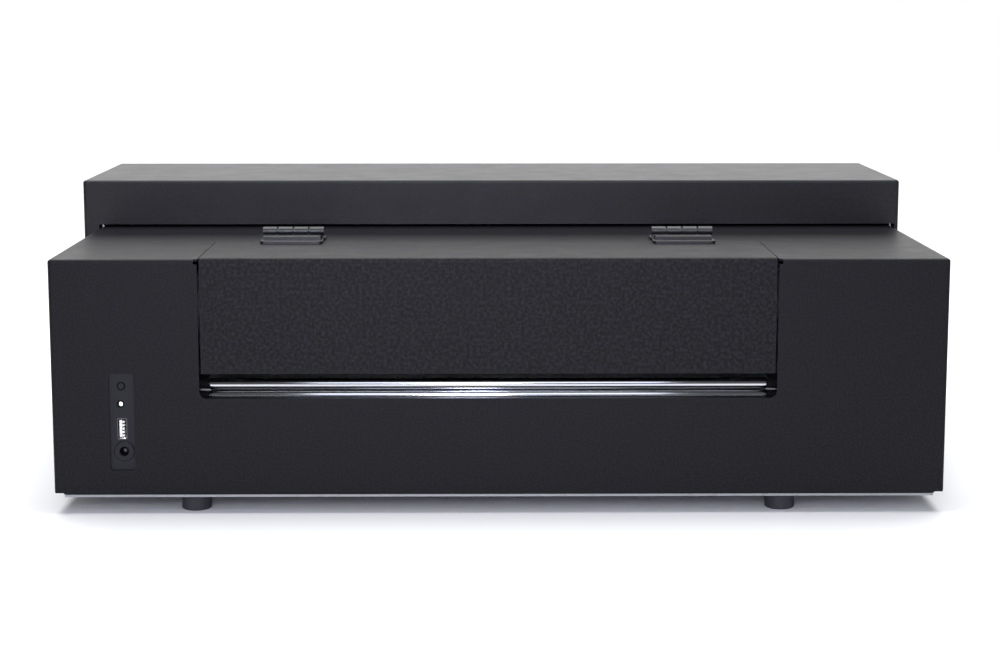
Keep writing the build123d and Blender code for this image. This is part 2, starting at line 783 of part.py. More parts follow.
def connector_plate():
    """Plate behind the window in the rear wall."""
    width, height = port_window
    z = housing_z + port_window_z
    plate = rounded_y(width + 9, height + 9, 3.0, port_x - 0.2, z, port_face_y - sheet, port_face_y)
    back = port_face_y - sheet - 1
    front = port_face_y + 1
    plate -= rod_y(2.1, port_x, back, front, port_hole_z(button_z))
    plate -= rod_y(led_radius + 0.5, port_x, back, front, port_hole_z(led_z))
    plate -= rounded_y(6.8, 14.8, 1.2, port_x, port_hole_z(usb_z), back, front)
    plate -= rod_y(5.2, port_x - 1.2, back, front, port_hole_z(jack_z))
    return plate


def usb_shell():
    """Folded shell of the USB-A socket, standing on its side."""
    z = port_hole_z(usb_z)
    shell = rounded_y(6.6, 14.6, 1.1, port_x, z, port_face_y - 14, port_face_y - 0.4)
    return shell - rounded_y(5.6, 13.6, 0.8, port_x, z, port_face_y - 13, port_face_y + 1)


def usb_tongue():
    """Contact tongue inside the socket."""
    z = port_hole_z(usb_z)
    return block(port_x + 0.2, port_x + 2.0, port_face_y - 13, port_face_y - 1.6, z - 5.8, z + 5.8)


def dc_jack_body():
    """Round panel jack with its flange on the plate."""
    x = port_x - 1.2
    z = port_hole_z(jack_z)
    jack = rod_y(5.2, x, port_face_y - 13, port_face_y, z)
    flange = rod_y(6.8, x, port_face_y, port_face_y + 1.2, z)
    flange = chamfer(flange.edges().group_by(Axis.Y)[-1], 0.5)
    return jack + flange - rod_y(3.4, x, port_face_y - 11, port_face_y + 2, z)


def dc_jack_pin():
    """Centre pin of the jack."""
    return rod_y(1.0, port_x - 1.2, port_face_y - 11, port_face_y - 3.5, port_hole_z(jack_z))


def status_led():
    """Light on its block."""
    z = port_hole_z(led_z)
    led = rod_y(led_radius, port_x, port_face_y - 7, port_face_y - 0.3, z)
    return led + block(port_x - 1.8, port_x + 3.3, port_face_y - 10, port_face_y - 7, z - 2.2, z + 2.2)


def reset_button():
    """Small push button with a collar behind the plate."""
    z = port_hole_z(button_z)
    stem = rod_y(1.95, port_x, port_face_y - 4.5, port_face_y + 0.3, z)
    return stem + rod_y(2.9, port_x, port_face_y - sheet - 1.3, port_face_y - sheet - 0.3, z)


def io_board():
    """Upright board that carries the rear sockets and the reset switch."""
    x = port_x + 3.3
    z = housing_z
    board = block(x, x + 1.6, port_face_y - 36, port_face_y - 3, z + jack_z - 12, z + button_z + 7)
    board += block(port_x - 3, x, port_face_y - 14, port_face_y - 6, z + button_z - 3, z + button_z + 3)
    return board - rod_y(5.2, port_x - 1.2, port_face_y - 14, port_face_y, port_hole_z(jack_z))


# ---- export ----

put(base_pan(), "base_pan")
put(rear_housing(), "rear_housing")
put(front_housing(), "front_housing")
put(hood(), "hood")
put(rear_flap(), "rear_flap")
put(foot_screws(), "foot_screws")
put(housing_screws(), "housing_screws")
put(hinge_pins(), "hinge_pins")
for name, (foot_x, foot_y) in foot_places().items():
    put(foot(foot_x, foot_y), name)
for side, sign in sides.items():
    middle = hinge_centre(sign)
    put(hood_pivot(sign), f"hood_pivot_{side}")
    put(leaf(middle, -1, ledge_z, 0), f"hinge_fixed_leaf_{side}")
    put(leaf(middle, 1, ledge_z + flap_proud, 1), f"hinge_moving_leaf_{side}")
    put(side_frame(sign), f"side_frame_{side}")
    put(rail_support(sign), f"rail_support_{side}")

for name in roller_lines:
    put(roller(name), name)
for name in feed_line():
    put(feed_pulley(name), name)
put(roller_bushes(), "roller_bushes")
put(platen(), "platen")
put(feed_belt(), "feed_belt")
put(feed_motor(), "feed_motor")

put(rail(-1), "rail_front")
put(rail(1), "rail_rear")
put(belt_pulley(1), "belt_drive_pulley")
put(belt_pulley(-1), "belt_idler_pulley")
put(carriage_belt(), "carriage_belt")
put(carriage_motor(), "carriage_motor")
put(carriage_body(), "carriage_body")
put(print_head(), "print_head")
put(ink_cartridges(), "ink_cartridges")
put(uv_lamp(), "uv_lamp")
put(lamp_lens(), "lamp_lens")
put(lamp_fan(), "lamp_fan")
put(cap_station(), "cap_station")
put(cap_pad(), "cap_pad")
put(waste_tank(), "waste_tank")

put(control_board(), "control_board")
put(key_board(), "key_board")
for name in key_places():
    put(key(name), name)
put(connector_plate(), "connector_plate")
put(usb_shell(), "usb_shell")
put(usb_tongue(), "usb_tongue")
put(dc_jack_body(), "dc_jack_body")
put(dc_jack_pin(), "dc_jack_pin")
put(status_led(), "status_led")
put(reset_button(), "reset_button")
put(io_board(), "io_board")
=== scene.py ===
import math

import bmesh
import bpy
from mathutils import Matrix, Vector


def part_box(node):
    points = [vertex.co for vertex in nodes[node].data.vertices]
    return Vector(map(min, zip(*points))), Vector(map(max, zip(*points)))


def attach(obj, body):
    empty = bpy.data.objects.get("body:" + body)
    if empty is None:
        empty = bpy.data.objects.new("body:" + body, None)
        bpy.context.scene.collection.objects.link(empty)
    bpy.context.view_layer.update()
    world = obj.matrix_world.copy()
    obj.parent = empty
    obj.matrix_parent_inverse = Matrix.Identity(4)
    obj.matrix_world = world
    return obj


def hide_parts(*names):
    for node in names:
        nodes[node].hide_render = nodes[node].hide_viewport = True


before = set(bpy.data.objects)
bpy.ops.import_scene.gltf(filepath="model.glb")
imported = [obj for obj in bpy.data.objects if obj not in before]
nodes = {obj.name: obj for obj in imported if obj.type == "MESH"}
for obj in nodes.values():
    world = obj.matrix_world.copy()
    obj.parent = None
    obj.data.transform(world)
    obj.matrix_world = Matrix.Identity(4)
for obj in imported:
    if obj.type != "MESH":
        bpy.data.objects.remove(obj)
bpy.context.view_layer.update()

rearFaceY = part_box("rear_housing")[1].y
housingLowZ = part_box("rear_housing")[0].z


# material helpers

def startMaterial(name, colour, roughness, metallic=0.0):
    material = bpy.data.materials.new(name)
    material.use_nodes = True
    surface = material.node_tree.nodes["Principled BSDF"]
    surface.inputs["Base Color"].default_value = (*colour, 1.0)
    surface.inputs["Roughness"].default_value = roughness
    surface.inputs["Metallic"].default_value = metallic
    return material, material.node_tree, surface


def pattern(tree, kind, scale, stretch=(1, 1, 1), detail=2.0):
    # a noise or voronoi texture read on the piece's own coordinates, in metres
    place = tree.nodes.new("ShaderNodeTexCoord")
    mapping = tree.nodes.new("ShaderNodeMapping")
    mapping.inputs["Scale"].default_value = stretch
    texture = tree.nodes.new(kind)
    texture.inputs["Scale"].default_value = scale
    if "Detail" in texture.inputs:
        texture.inputs["Detail"].default_value = detail
    tree.links.new(place.outputs["Object"], mapping.inputs["Vector"])
    tree.links.new(mapping.outputs["Vector"], texture.inputs["Vector"])
    return texture.outputs[0]


def spread(tree, source, low, high, fromLow=0.3, fromHigh=0.7):
    # maps a pattern to a range of numbers
    node = tree.nodes.new("ShaderNodeMapRange")
    node.inputs["From Min"].default_value = fromLow
    node.inputs["From Max"].default_value = fromHigh
    node.inputs["To Min"].default_value = low
    node.inputs["To Max"].default_value = high
    tree.links.new(source, node.inputs["Value"])
    return node.outputs["Result"]


def twoColours(tree, source, dark, light, fromLow=0.35, fromHigh=0.65):
    ramp = tree.nodes.new("ShaderNodeValToRGB")
    ramp.color_ramp.elements[0].position = fromLow
    ramp.color_ramp.elements[1].position = fromHigh
    ramp.color_ramp.elements[0].color = (*dark, 1.0)
    ramp.color_ramp.elements[1].color = (*light, 1.0)
    tree.links.new(source, ramp.inputs["Fac"])
    return ramp.outputs["Color"]


def bump(tree, surface, *layers):
    # each layer is (pattern, strength, height in metres)
    below = None
    for source, strength, height in layers:
        node = tree.nodes.new("ShaderNodeBump")
        node.inputs["Strength"].default_value = strength
        node.inputs["Distance"].default_value = height
        tree.links.new(source, node.inputs["Height"])
        if below:
            tree.links.new(below, node.inputs["Normal"])
        below = node.outputs["Normal"]
    tree.links.new(below, surface.inputs["Normal"])


# finishes

caseFinish = {
    "colour": (0.0036, 0.0035, 0.0050), "pale": (0.0088, 0.0086, 0.0118), "shine": 0.14,
    "roughness": (0.43, 0.47), "grainSize": 0.0013, "grainHeight": 0.0001,
}
hoodFinish = {**caseFinish, "shine": 0.28, "roughness": (0.41, 0.45)}
flapFinish = {
    "colour": (0.0026, 0.0025, 0.0037), "pale": (0.0128, 0.0125, 0.0162), "shine": 0.14,
    "roughness": (0.45, 0.49), "grainSize": 0.0023, "grainHeight": 0.00022,
}


def powderCoat(name, finish):
    # textured powder paint: a pebbled skin with finer sparkle between the pebbles
    material, tree, surface = startMaterial(name, finish["colour"], 0.45)
    pebbles = pattern(tree, "ShaderNodeTexNoise", 1.0 / finish["grainSize"], detail=3.0)
    specks = pattern(tree, "ShaderNodeTexVoronoi", 0.6 / finish["grainSize"])
    patches = pattern(tree, "ShaderNodeTexNoise", 55.0, detail=2.0)
    colour = twoColours(tree, pebbles, finish["colour"], finish["pale"], 0.42, 0.68)
    tree.links.new(colour, surface.inputs["Base Color"])
    surface.inputs["Specular IOR Level"].default_value = finish["shine"]
    tree.links.new(spread(tree, patches, *finish["roughness"]), surface.inputs["Roughness"])
    height = finish["grainHeight"]
    bump(tree, surface, (pebbles, 0.55, height), (specks, 0.2, height * 0.5))
    return material


def satinBlack(name, colour=(0.014, 0.014, 0.016), roughness=0.34):
    # smoother paint, as on the hinges and motors
    material, tree, surface = startMaterial(name, colour, roughness)
    ripple = pattern(tree, "ShaderNodeTexNoise", 500.0, detail=2.0)
    gloss = spread(tree, ripple, roughness - 0.05, roughness + 0.08)
    tree.links.new(gloss, surface.inputs["Roughness"])
    bump(tree, surface, (ripple, 0.25, 0.00003))
    return material


def zincSheet(name, colour=(0.52, 0.53, 0.55)):
    # zinc-coated steel, with its faint spangle and rolling lines
    material, tree, surface = startMaterial(name, colour, 0.38, 1.0)
    spangle = pattern(tree, "ShaderNodeTexVoronoi", 130.0)
    lines = pattern(tree, "ShaderNodeTexNoise", 60.0, (1.0, 26.0, 26.0), 3.0)
    pale = tuple(min(1.0, value * 1.25) for value in colour)
    tree.links.new(twoColours(tree, spangle, colour, pale, 0.2, 0.8), surface.inputs["Base Color"])
    tree.links.new(spread(tree, lines, 0.3, 0.48), surface.inputs["Roughness"])
    bump(tree, surface, (lines, 0.15, 0.00002))
    return material


def groundSteel(name):
    # ground bar: bright, with fine rings round its axis
    material, tree, surface = startMaterial(name, (0.56, 0.57, 0.6), 0.1, 1.0)
    rings = pattern(tree, "ShaderNodeTexNoise", 30.0, (90.0, 1.0, 1.0), 4.0)
    smears = pattern(tree, "ShaderNodeTexNoise", 9.0, (1.0, 30.0, 30.0), 2.0)
    tree.links.new(spread(tree, smears, 0.07, 0.15), surface.inputs["Roughness"])
    bump(tree, surface, (rings, 0.06, 0.00001))
    return material


def milledAluminium(name, colour=(0.66, 0.67, 0.69)):
    # bead-blasted and anodised, with a faint cutter pattern
    material, tree, surface = startMaterial(name, colour, 0.4, 1.0)
    grain = pattern(tree, "ShaderNodeTexNoise", 1400.0, detail=2.0)
    passes = pattern(tree, "ShaderNodeTexNoise", 40.0, (1.0, 18.0, 18.0), 2.0)
    pale = tuple(min(1.0, value * 1.12) for value in colour)
    tree.links.new(twoColours(tree, passes, colour, pale), surface.inputs["Base Color"])
    tree.links.new(spread(tree, passes, 0.34, 0.48), surface.inputs["Roughness"])
    bump(tree, surface, (grain, 0.2, 0.00002))
    return material


def satinMetal(name, colour, roughness):
    # small pressed contacts
    material, tree, surface = startMaterial(name, colour, roughness, 1.0)
    rub = pattern(tree, "ShaderNodeTexNoise", 900.0, (1.0, 0.2, 1.0), 2.0)
    tree.links.new(spread(tree, rub, roughness - 0.06, roughness + 0.1), surface.inputs["Roughness"])
    return material


def mouldedPlastic(name, colour, roughness=0.5, grain=900.0, shine=0.5):
    material, tree, surface = startMaterial(name, colour, roughness)
    surface.inputs["Specular IOR Level"].default_value = shine
    texture = pattern(tree, "ShaderNodeTexNoise", grain, detail=2.0)
    pale = tuple(value * 1.25 + 0.002 for value in colour)
    tree.links.new(twoColours(tree, texture, colour, pale), surface.inputs["Base Color"])
    tree.links.new(spread(tree, texture, roughness - 0.06, roughness + 0.08), surface.inputs["Roughness"])
    bump(tree, surface, (texture, 0.25, 0.00003))
    return material


def softRubber(name, colour=(0.021, 0.021, 0.026)):
    material, tree, surface = startMaterial(name, colour, 0.72)
    dust = pattern(tree, "ShaderNodeTexNoise", 120.0, detail=5.0)
    pores = pattern(tree, "ShaderNodeTexNoise", 1600.0, detail=2.0)
    pale = tuple(value * 1.7 for value in colour)
    tree.links.new(twoColours(tree, dust, colour, pale, 0.4, 0.75), surface.inputs["Base Color"])
    tree.links.new(spread(tree, dust, 0.62, 0.85), surface.inputs["Roughness"])
    bump(tree, surface, (pores, 0.35, 0.00004))
    return material


def solderMask(name):
    # board lacquer over copper tracks
    material, tree, surface = startMaterial(name, (0.01, 0.1, 0.045), 0.3)
    tracks = tree.nodes.new("ShaderNodeTexBrick")
    place = tree.nodes.new("ShaderNodeTexCoord")
    tree.links.new(place.outputs["Object"], tracks.inputs["Vector"])
    tracks.inputs["Scale"].default_value = 260.0
    tracks.inputs["Color1"].default_value = (0.008, 0.085, 0.04, 1)
    tracks.inputs["Color2"].default_value = (0.012, 0.12, 0.055, 1)
    tracks.inputs["Mortar"].default_value = (0.02, 0.16, 0.08, 1)
    tree.links.new(tracks.outputs["Color"], surface.inputs["Base Color"])
    surface.inputs["Coat Weight"].default_value = 0.4
    return material


def litLamp(name, colour, strength):
    material, tree, surface = startMaterial(name, colour, 0.3)
    glow = pattern(tree, "ShaderNodeTexNoise", 900.0, detail=1.0)
    tree.links.new(twoColours(tree, glow, colour, (1.0, 1.0, 1.0)), surface.inputs["Emission Color"])
    surface.inputs["Emission Strength"].default_value = strength
    return material


def lensGlass(name):
    material, tree, surface = startMaterial(name, (0.82, 0.86, 0.95), 0.05)
    surface.inputs["Transmission Weight"].default_value = 0.9
    surface.inputs["IOR"].default_value = 1.47
    haze = pattern(tree, "ShaderNodeTexNoise", 300.0, detail=2.0)
    tree.links.new(spread(tree, haze, 0.03, 0.12), surface.inputs["Roughness"])
    return material


finishes = {
    "case": powderCoat("casePowder", caseFinish),
    "hood": powderCoat("hoodPowder", hoodFinish),
    "flap": powderCoat("flapPowder", flapFinish),
    "hinge": satinBlack("hingeSatin"),
    "motor": satinBlack("motorSatin", (0.02, 0.02, 0.022), 0.4),
    "zinc": zincSheet("zincSheet"),
    "pan": zincSheet("panSheet", (0.24, 0.245, 0.255)),
    "shell": satinMetal("socketShell", (0.1, 0.1, 0.105), 0.3),
    "screw": zincSheet("screwPlate", (0.5, 0.5, 0.5)),
    "roller": groundSteel("groundSteel"),
    "aluminium": milledAluminium("bedAluminium"),
    "plate": mouldedPlastic("plateBlack", (0.0078, 0.0077, 0.0112), 0.5, shine=0.2),
    "plastic": mouldedPlastic("blackPlastic", (0.018, 0.018, 0.021), 0.48),
    "ink": mouldedPlastic("inkShell", (0.02, 0.02, 0.022), 0.25, 500.0),
    "tank": mouldedPlastic("milkyTank", (0.62, 0.62, 0.58), 0.42, 300.0),
    "tongue": mouldedPlastic("tongueWhite", (0.72, 0.72, 0.7), 0.35, 700.0),
    "rubber": softRubber("footRubber"),
    "belt": softRubber("beltRubber", (0.012, 0.012, 0.013)),
    "board": solderMask("boardLacquer"),
    "light": litLamp("statusLight", (0.86, 0.9, 1.0), 1.3),
    "lens": lensGlass("lampLens"),
    # dark satin metal for the jack's ring and pin; on the pin it is painted shade: the bright pin darkened as
    # if lying in the socket's shadow
    "darkMetalPinShade": satinMetal("darkPlatingPinShade", (0.07, 0.07, 0.08), 0.32),
    "shadow": mouldedPlastic("shadowBlack", (0.002, 0.002, 0.0025), 0.8, shine=0.1),
    "gilt": satinMetal("giltStrip", (0.78, 0.77, 0.72), 0.22),
    "violet": litLamp("lampDiodes", (0.3, 0.24, 0.6), 0.15),
}

finishOf = {
    "case": ["rear_housing", "front_housing"],
    "hood": ["hood"],
    "flap": ["rear_flap"],
    "hinge": ["hinge_fixed_leaf_left", "hinge_fixed_leaf_right", "hinge_moving_leaf_left",
              "hinge_moving_leaf_right", "hinge_pins"],
    "motor": ["feed_motor", "carriage_motor", "side_frame_left", "side_frame_right"],
    "pan": ["base_pan"],
    "zinc": ["rail_support_left", "rail_support_right", "hood_pivot_left", "hood_pivot_right"],
    "screw": ["foot_screws", "housing_screws"],
    "shell": ["usb_shell"],
    # the jack's pin in dark metal: painted shade of the socket's mouth
    "darkMetalPinShade": ["dc_jack_pin"],
    "shadow": ["roller_bushes"],
    "roller": ["outfeed_roller_lower", "outfeed_roller_upper", "infeed_roller_lower", "infeed_roller_upper",
               "rail_front", "rail_rear"],
    "aluminium": ["platen", "carriage_body", "uv_lamp", "outfeed_pulley", "infeed_pulley",
                  "feed_motor_pulley", "belt_drive_pulley", "belt_idler_pulley"],
    "plate": ["connector_plate", "dc_jack_body", "reset_button"],
    "plastic": ["print_head", "lamp_fan", "cap_station", "power_key", "feed_key"],
    "ink": ["ink_cartridges"],
    "tank": ["waste_tank"],
    "tongue": ["usb_tongue"],
    "rubber": ["foot_rear_left", "foot_rear_right", "foot_front_left", "foot_front_right", "cap_pad"],
    "belt": ["feed_belt", "carriage_belt"],
    "board": ["control_board", "key_board", "io_board"],
    "light": ["status_led"],
    "lens": ["lamp_lens"],
}


def dress(piece, material):
    piece.data.materials.clear()
    piece.data.materials.append(material)


for finish, names in finishOf.items():
    for name in names:
        dress(nodes[name], finishes[finish])
print("finishes on", sum(len(names) for names in finishOf.values()), "nodes")


# mesh helpers

def addSlab(shape, low, high, edge=0.0):
    # a block between two corners, its edges rounded off
    made = bmesh.ops.create_cube(shape, size=1.0)["verts"]
    size = Vector(high) - Vector(low)
    bmesh.ops.scale(shape, vec=size, verts=made)
    bmesh.ops.translate(shape, vec=(Vector(high) + Vector(low)) / 2, verts=made)
    if edge:
        sides = list({line for vert in made for line in vert.link_edges})
        bmesh.ops.bevel(shape, geom=sides, offset=edge, segments=2, profile=0.5, affect="EDGES")


def addTurned(shape, profile, centre, axis, steps=48, hexed=()):
    # a turned ring or knob: the profile's (radius, along) points swept round an axis
    # the points numbered in hexed keep a six-sided outline, as in a key socket
    turn = Vector((0, 0, 1)).rotation_difference(Vector(axis)).to_matrix()
    rings = []
    for step in range(steps):
        angle = 2 * math.pi * step / steps
        sixth = math.cos((angle + math.pi / 6) % (math.pi / 3) - math.pi / 6)
        ring = []
        for number, (radius, along) in enumerate(profile):
            r = radius / sixth if number in hexed else radius
            corner = turn @ Vector((r * math.cos(angle), r * math.sin(angle), along))
            ring.append(shape.verts.new(corner + Vector(centre)))
        rings.append(ring)
    count = len(profile)
    for step, ring in enumerate(rings):
        after = rings[(step + 1) % steps]
        for i in range(count):
            j = (i + 1) % count
            if profile[i][0] == 0 and profile[j][0] == 0:
                continue
            shape.faces.new((ring[i], ring[j], after[j], after[i]))


def meshOf(name, shape, angle=35):
    bmesh.ops.remove_doubles(shape, verts=shape.verts, dist=1e-7)
    bmesh.ops.dissolve_degenerate(shape, edges=shape.edges, dist=1e-7)
    bmesh.ops.recalc_face_normals(shape, faces=shape.faces)
    mesh = bpy.data.meshes.new(name)
    shape.to_mesh(mesh)
    shape.free()
    mesh.shade_smooth()
    mesh.set_sharp_from_angle(angle=math.radians(angle))
    return mesh


def addPiece(name, mesh, finish, body, slot, *stoodFor):
    piece = bpy.data.objects.new(name, mesh)
    bpy.context.collection.objects.link(piece)
    dress(piece, finishes[finish])
    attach(piece, body)
    if stoodFor:
        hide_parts(*stoodFor)
    return piece


def solidsOf(name):
    # the low and high corner of each separate solid of a node
    shape = bmesh.new()
    shape.from_mesh(nodes[name].data)
    bmesh.ops.remove_doubles(shape, verts=shape.verts, dist=1e-6)
    left = set(shape.verts)
    boxes = []
    while left:
        group = [left.pop()]
        for vert in group:
            for line in vert.link_edges:
                other = line.other_vert(vert)
                if other in left:
                    left.discard(other)
                    group.append(other)
        corners = [vert.co for vert in group]
        low = Vector([min(corner[i] for corner in corners) for i in range(3)])
        high = Vector([max(corner[i] for corner in corners) for i in range(3)])
        boxes.append((low, high))
    shape.free()
    return sorted(boxes, key=lambda box: tuple(round(value, 5) for value in box[0]))


# repeats grown by nodes

def newTree(name, sockets):
    tree = bpy.data.node_groups.new(name, "GeometryNodeTree")
    tree.is_modifier = True
    tree.interface.new_socket("Shape", in_out="INPUT", socket_type="NodeSocketGeometry")
    for label, kind in sockets.items():
        tree.interface.new_socket(label, in_out="INPUT", socket_type="NodeSocket" + kind)
    tree.interface.new_socket("Result", in_out="OUTPUT", socket_type="NodeSocketGeometry")
    return tree, tree.nodes.new("NodeGroupInput"), tree.nodes.new("NodeGroupOutput")


def finishTree(tree, given, result, geometry):
    real = tree.nodes.new("GeometryNodeRealizeInstances")
    coat = tree.nodes.new("GeometryNodeSetMaterial")
    tree.links.new(geometry, real.inputs["Geometry"])
    tree.links.new(real.outputs["Geometry"], coat.inputs["Geometry"])
    tree.links.new(given.outputs["Finish"], coat.inputs["Material"])
    tree.links.new(coat.outputs["Geometry"], result.inputs["Result"])


def gridTree():
    # copies of the shape over a flat grid that starts at a corner
    tree, given, result = newTree("copiesOnGrid", {
        "Columns": "Int", "Rows": "Int", "Column pitch": "Float", "Row pitch": "Float",
        "Corner": "Vector", "Turn": "Vector", "Finish": "Material"})
    grid = tree.nodes.new("GeometryNodeMeshGrid")
    half = tree.nodes.new("ShaderNodeCombineXYZ")
    for count, pitch, side, vertices, axis in (
            ("Columns", "Column pitch", "Size X", "Vertices X", "X"),
            ("Rows", "Row pitch", "Size Y", "Vertices Y", "Y")):
        gaps = tree.nodes.new("ShaderNodeMath")
        gaps.operation = "SUBTRACT"
        gaps.inputs[1].default_value = 1.0
        length = tree.nodes.new("ShaderNodeMath")
        length.operation = "MULTIPLY"
        middle = tree.nodes.new("ShaderNodeMath")
        middle.operation = "MULTIPLY"
        middle.inputs[1].default_value = 0.5
        tree.links.new(given.outputs[count], gaps.inputs[0])
        tree.links.new(gaps.outputs[0], length.inputs[0])
        tree.links.new(given.outputs[pitch], length.inputs[1])
        tree.links.new(length.outputs[0], grid.inputs[side])
        tree.links.new(length.outputs[0], middle.inputs[0])
        tree.links.new(middle.outputs[0], half.inputs[axis])
        tree.links.new(given.outputs[count], grid.inputs[vertices])
    shift = tree.nodes.new("GeometryNodeTransform")
    tree.links.new(grid.outputs["Mesh"], shift.inputs["Geometry"])
    tree.links.new(half.outputs["Vector"], shift.inputs["Translation"])
    copies = tree.nodes.new("GeometryNodeInstanceOnPoints")
    tree.links.new(shift.outputs["Geometry"], copies.inputs["Points"])
    tree.links.new(given.outputs["Shape"], copies.inputs["Instance"])
    lay = tree.nodes.new("GeometryNodeTransform")
    tree.links.new(copies.outputs["Instances"], lay.inputs["Geometry"])
    tree.links.new(given.outputs["Turn"], lay.inputs["Rotation"])
    tree.links.new(given.outputs["Corner"], lay.inputs["Translation"])
    finishTree(tree, given, result, lay.outputs["Geometry"])
    return tree


def placesTree():
    # a copy of the item at each point of the shape
    tree, given, result = newTree("copiesAtPlaces", {
        "Item": "Object", "Turn": "Vector", "Finish": "Material"})
    item = tree.nodes.new("GeometryNodeObjectInfo")
    tree.links.new(given.outputs["Item"], item.inputs["Object"])
    copies = tree.nodes.new("GeometryNodeInstanceOnPoints")
    tree.links.new(given.outputs["Shape"], copies.inputs["Points"])
    tree.links.new(item.outputs["Geometry"], copies.inputs["Instance"])
    tree.links.new(given.outputs["Turn"], copies.inputs["Rotation"])
    finishTree(tree, given, result, copies.outputs["Instances"])
    return tree


def ringTree():
    # copies of the shape round a circle, each turned to face outwards, about a chosen centre
    tree, given, result = newTree("copiesOnRing", {
        "Count": "Int", "Centre": "Vector", "Turn": "Vector", "Finish": "Material"})
    circle = tree.nodes.new("GeometryNodeMeshCircle")
    circle.inputs["Radius"].default_value = 1e-6
    tree.links.new(given.outputs["Count"], circle.inputs["Vertices"])
    number = tree.nodes.new("GeometryNodeInputIndex")
    part = tree.nodes.new("ShaderNodeMath")
    part.operation = "DIVIDE"
    angle = tree.nodes.new("ShaderNodeMath")
    angle.operation = "MULTIPLY"
    angle.inputs[1].default_value = 2 * math.pi
    facing = tree.nodes.new("ShaderNodeCombineXYZ")
    tree.links.new(number.outputs["Index"], part.inputs[0])
    tree.links.new(given.outputs["Count"], part.inputs[1])
    tree.links.new(part.outputs[0], angle.inputs[0])
    tree.links.new(angle.outputs[0], facing.inputs["Z"])
    copies = tree.nodes.new("GeometryNodeInstanceOnPoints")
    tree.links.new(circle.outputs["Mesh"], copies.inputs["Points"])
    tree.links.new(given.outputs["Shape"], copies.inputs["Instance"])
    tree.links.new(facing.outputs["Vector"], copies.inputs["Rotation"])
    lay = tree.nodes.new("GeometryNodeTransform")
    tree.links.new(copies.outputs["Instances"], lay.inputs["Geometry"])
    tree.links.new(given.outputs["Turn"], lay.inputs["Rotation"])
    tree.links.new(given.outputs["Centre"], lay.inputs["Translation"])
    finishTree(tree, given, result, lay.outputs["Geometry"])
    return tree


beltShape = {"pitch": 0.00314, "band": 0.0006, "tooth": 0.0006, "toothReach": 0.96, "toothFill": 0.5,
             "toothSeat": 0.45, "bendStep": 9, "flange": 0.00045, "flangeRise": 0.0011}


def beltTree():
    # a toothed belt along a closed path of points
    tree, given, result = newTree("toothedBelt", {
        "Pitch": "Float", "Width": "Float", "Band": "Float", "Tooth": "Vector", "Finish": "Material"})
    path = tree.nodes.new("GeometryNodeMeshToCurve")
    tree.links.new(given.outputs["Shape"], path.inputs["Mesh"])
    upright = tree.nodes.new("GeometryNodeSetCurveNormal")
    upright.mode = "Z_UP"
    tree.links.new(path.outputs["Curve"], upright.inputs["Curve"])
    section = tree.nodes.new("GeometryNodeCurvePrimitiveQuadrilateral")
    tree.links.new(given.outputs["Band"], section.inputs["Width"])
    tree.links.new(given.outputs["Width"], section.inputs["Height"])
    band = tree.nodes.new("GeometryNodeCurveToMesh")
    tree.links.new(upright.outputs["Curve"], band.inputs["Curve"])
    tree.links.new(section.outputs["Curve"], band.inputs["Profile Curve"])
    places = tree.nodes.new("GeometryNodeCurveToPoints")
    places.mode = "LENGTH"
    tree.links.new(upright.outputs["Curve"], places.inputs["Curve"])
    tree.links.new(given.outputs["Pitch"], places.inputs["Length"])
    tooth = tree.nodes.new("GeometryNodeMeshCube")
    tree.links.new(given.outputs["Tooth"], tooth.inputs["Size"])
    inward = tree.nodes.new("GeometryNodeTransform")
    tree.links.new(tooth.outputs["Mesh"], inward.inputs["Geometry"])
    seat = -beltShape["toothSeat"] * (beltShape["band"] + beltShape["tooth"])
    inward.inputs["Translation"].default_value = (seat, 0, 0)
    copies = tree.nodes.new("GeometryNodeInstanceOnPoints")
    tree.links.new(places.outputs["Points"], copies.inputs["Points"])
    tree.links.new(places.outputs["Rotation"], copies.inputs["Rotation"])
    tree.links.new(inward.outputs["Geometry"], copies.inputs["Instance"])
    both = tree.nodes.new("GeometryNodeJoinGeometry")
    tree.links.new(band.outputs["Mesh"], both.inputs["Geometry"])
    tree.links.new(copies.outputs["Instances"], both.inputs["Geometry"])
    finishTree(tree, given, result, both.outputs["Geometry"])
    return tree


def grow(name, mesh, tree, values, finish, body, slot, *stoodFor):
    # runs a tree on a mesh and keeps the result as one plain piece
    seed = bpy.data.objects.new(name, mesh)
    bpy.context.collection.objects.link(seed)
    modifier = seed.modifiers.new("grow", "NODES")
    modifier.node_group = tree
    values = {**values, "Finish": finishes[finish]}
    for item in tree.interface.items_tree:
        if item.in_out == "INPUT" and item.name in values:
            modifier[item.identifier] = values[item.name]
    depsgraph = bpy.context.evaluated_depsgraph_get()
    grown = bpy.data.meshes.new_from_object(seed.evaluated_get(depsgraph), depsgraph=depsgraph)
    seed.modifiers.remove(modifier)
    bpy.data.objects.remove(seed)
    grown.name = name
    return addPiece(name, grown, finish, body, slot, *stoodFor)


def pointsMesh(name, places):
    mesh = bpy.data.meshes.new(name)
    mesh.from_pydata([tuple(place) for place in places], [], [])
    return mesh


def growAt(name, itemMesh, places, finish, body, slot, *stoodFor):
    item = bpy.data.objects.new(name + "Item", itemMesh)
    bpy.context.collection.objects.link(item)
    values = {"Item": item, "Turn": (0, 0, 0)}
    grow(name, pointsMesh(name, places), atPlaces, values, finish, body, slot, *stoodFor)
    bpy.data.objects.remove(item)


onGrid, onRing, atPlaces, growBelt = gridTree(), ringTree(), placesTree(), beltTree()


# sockets, status light and reset button on the rear

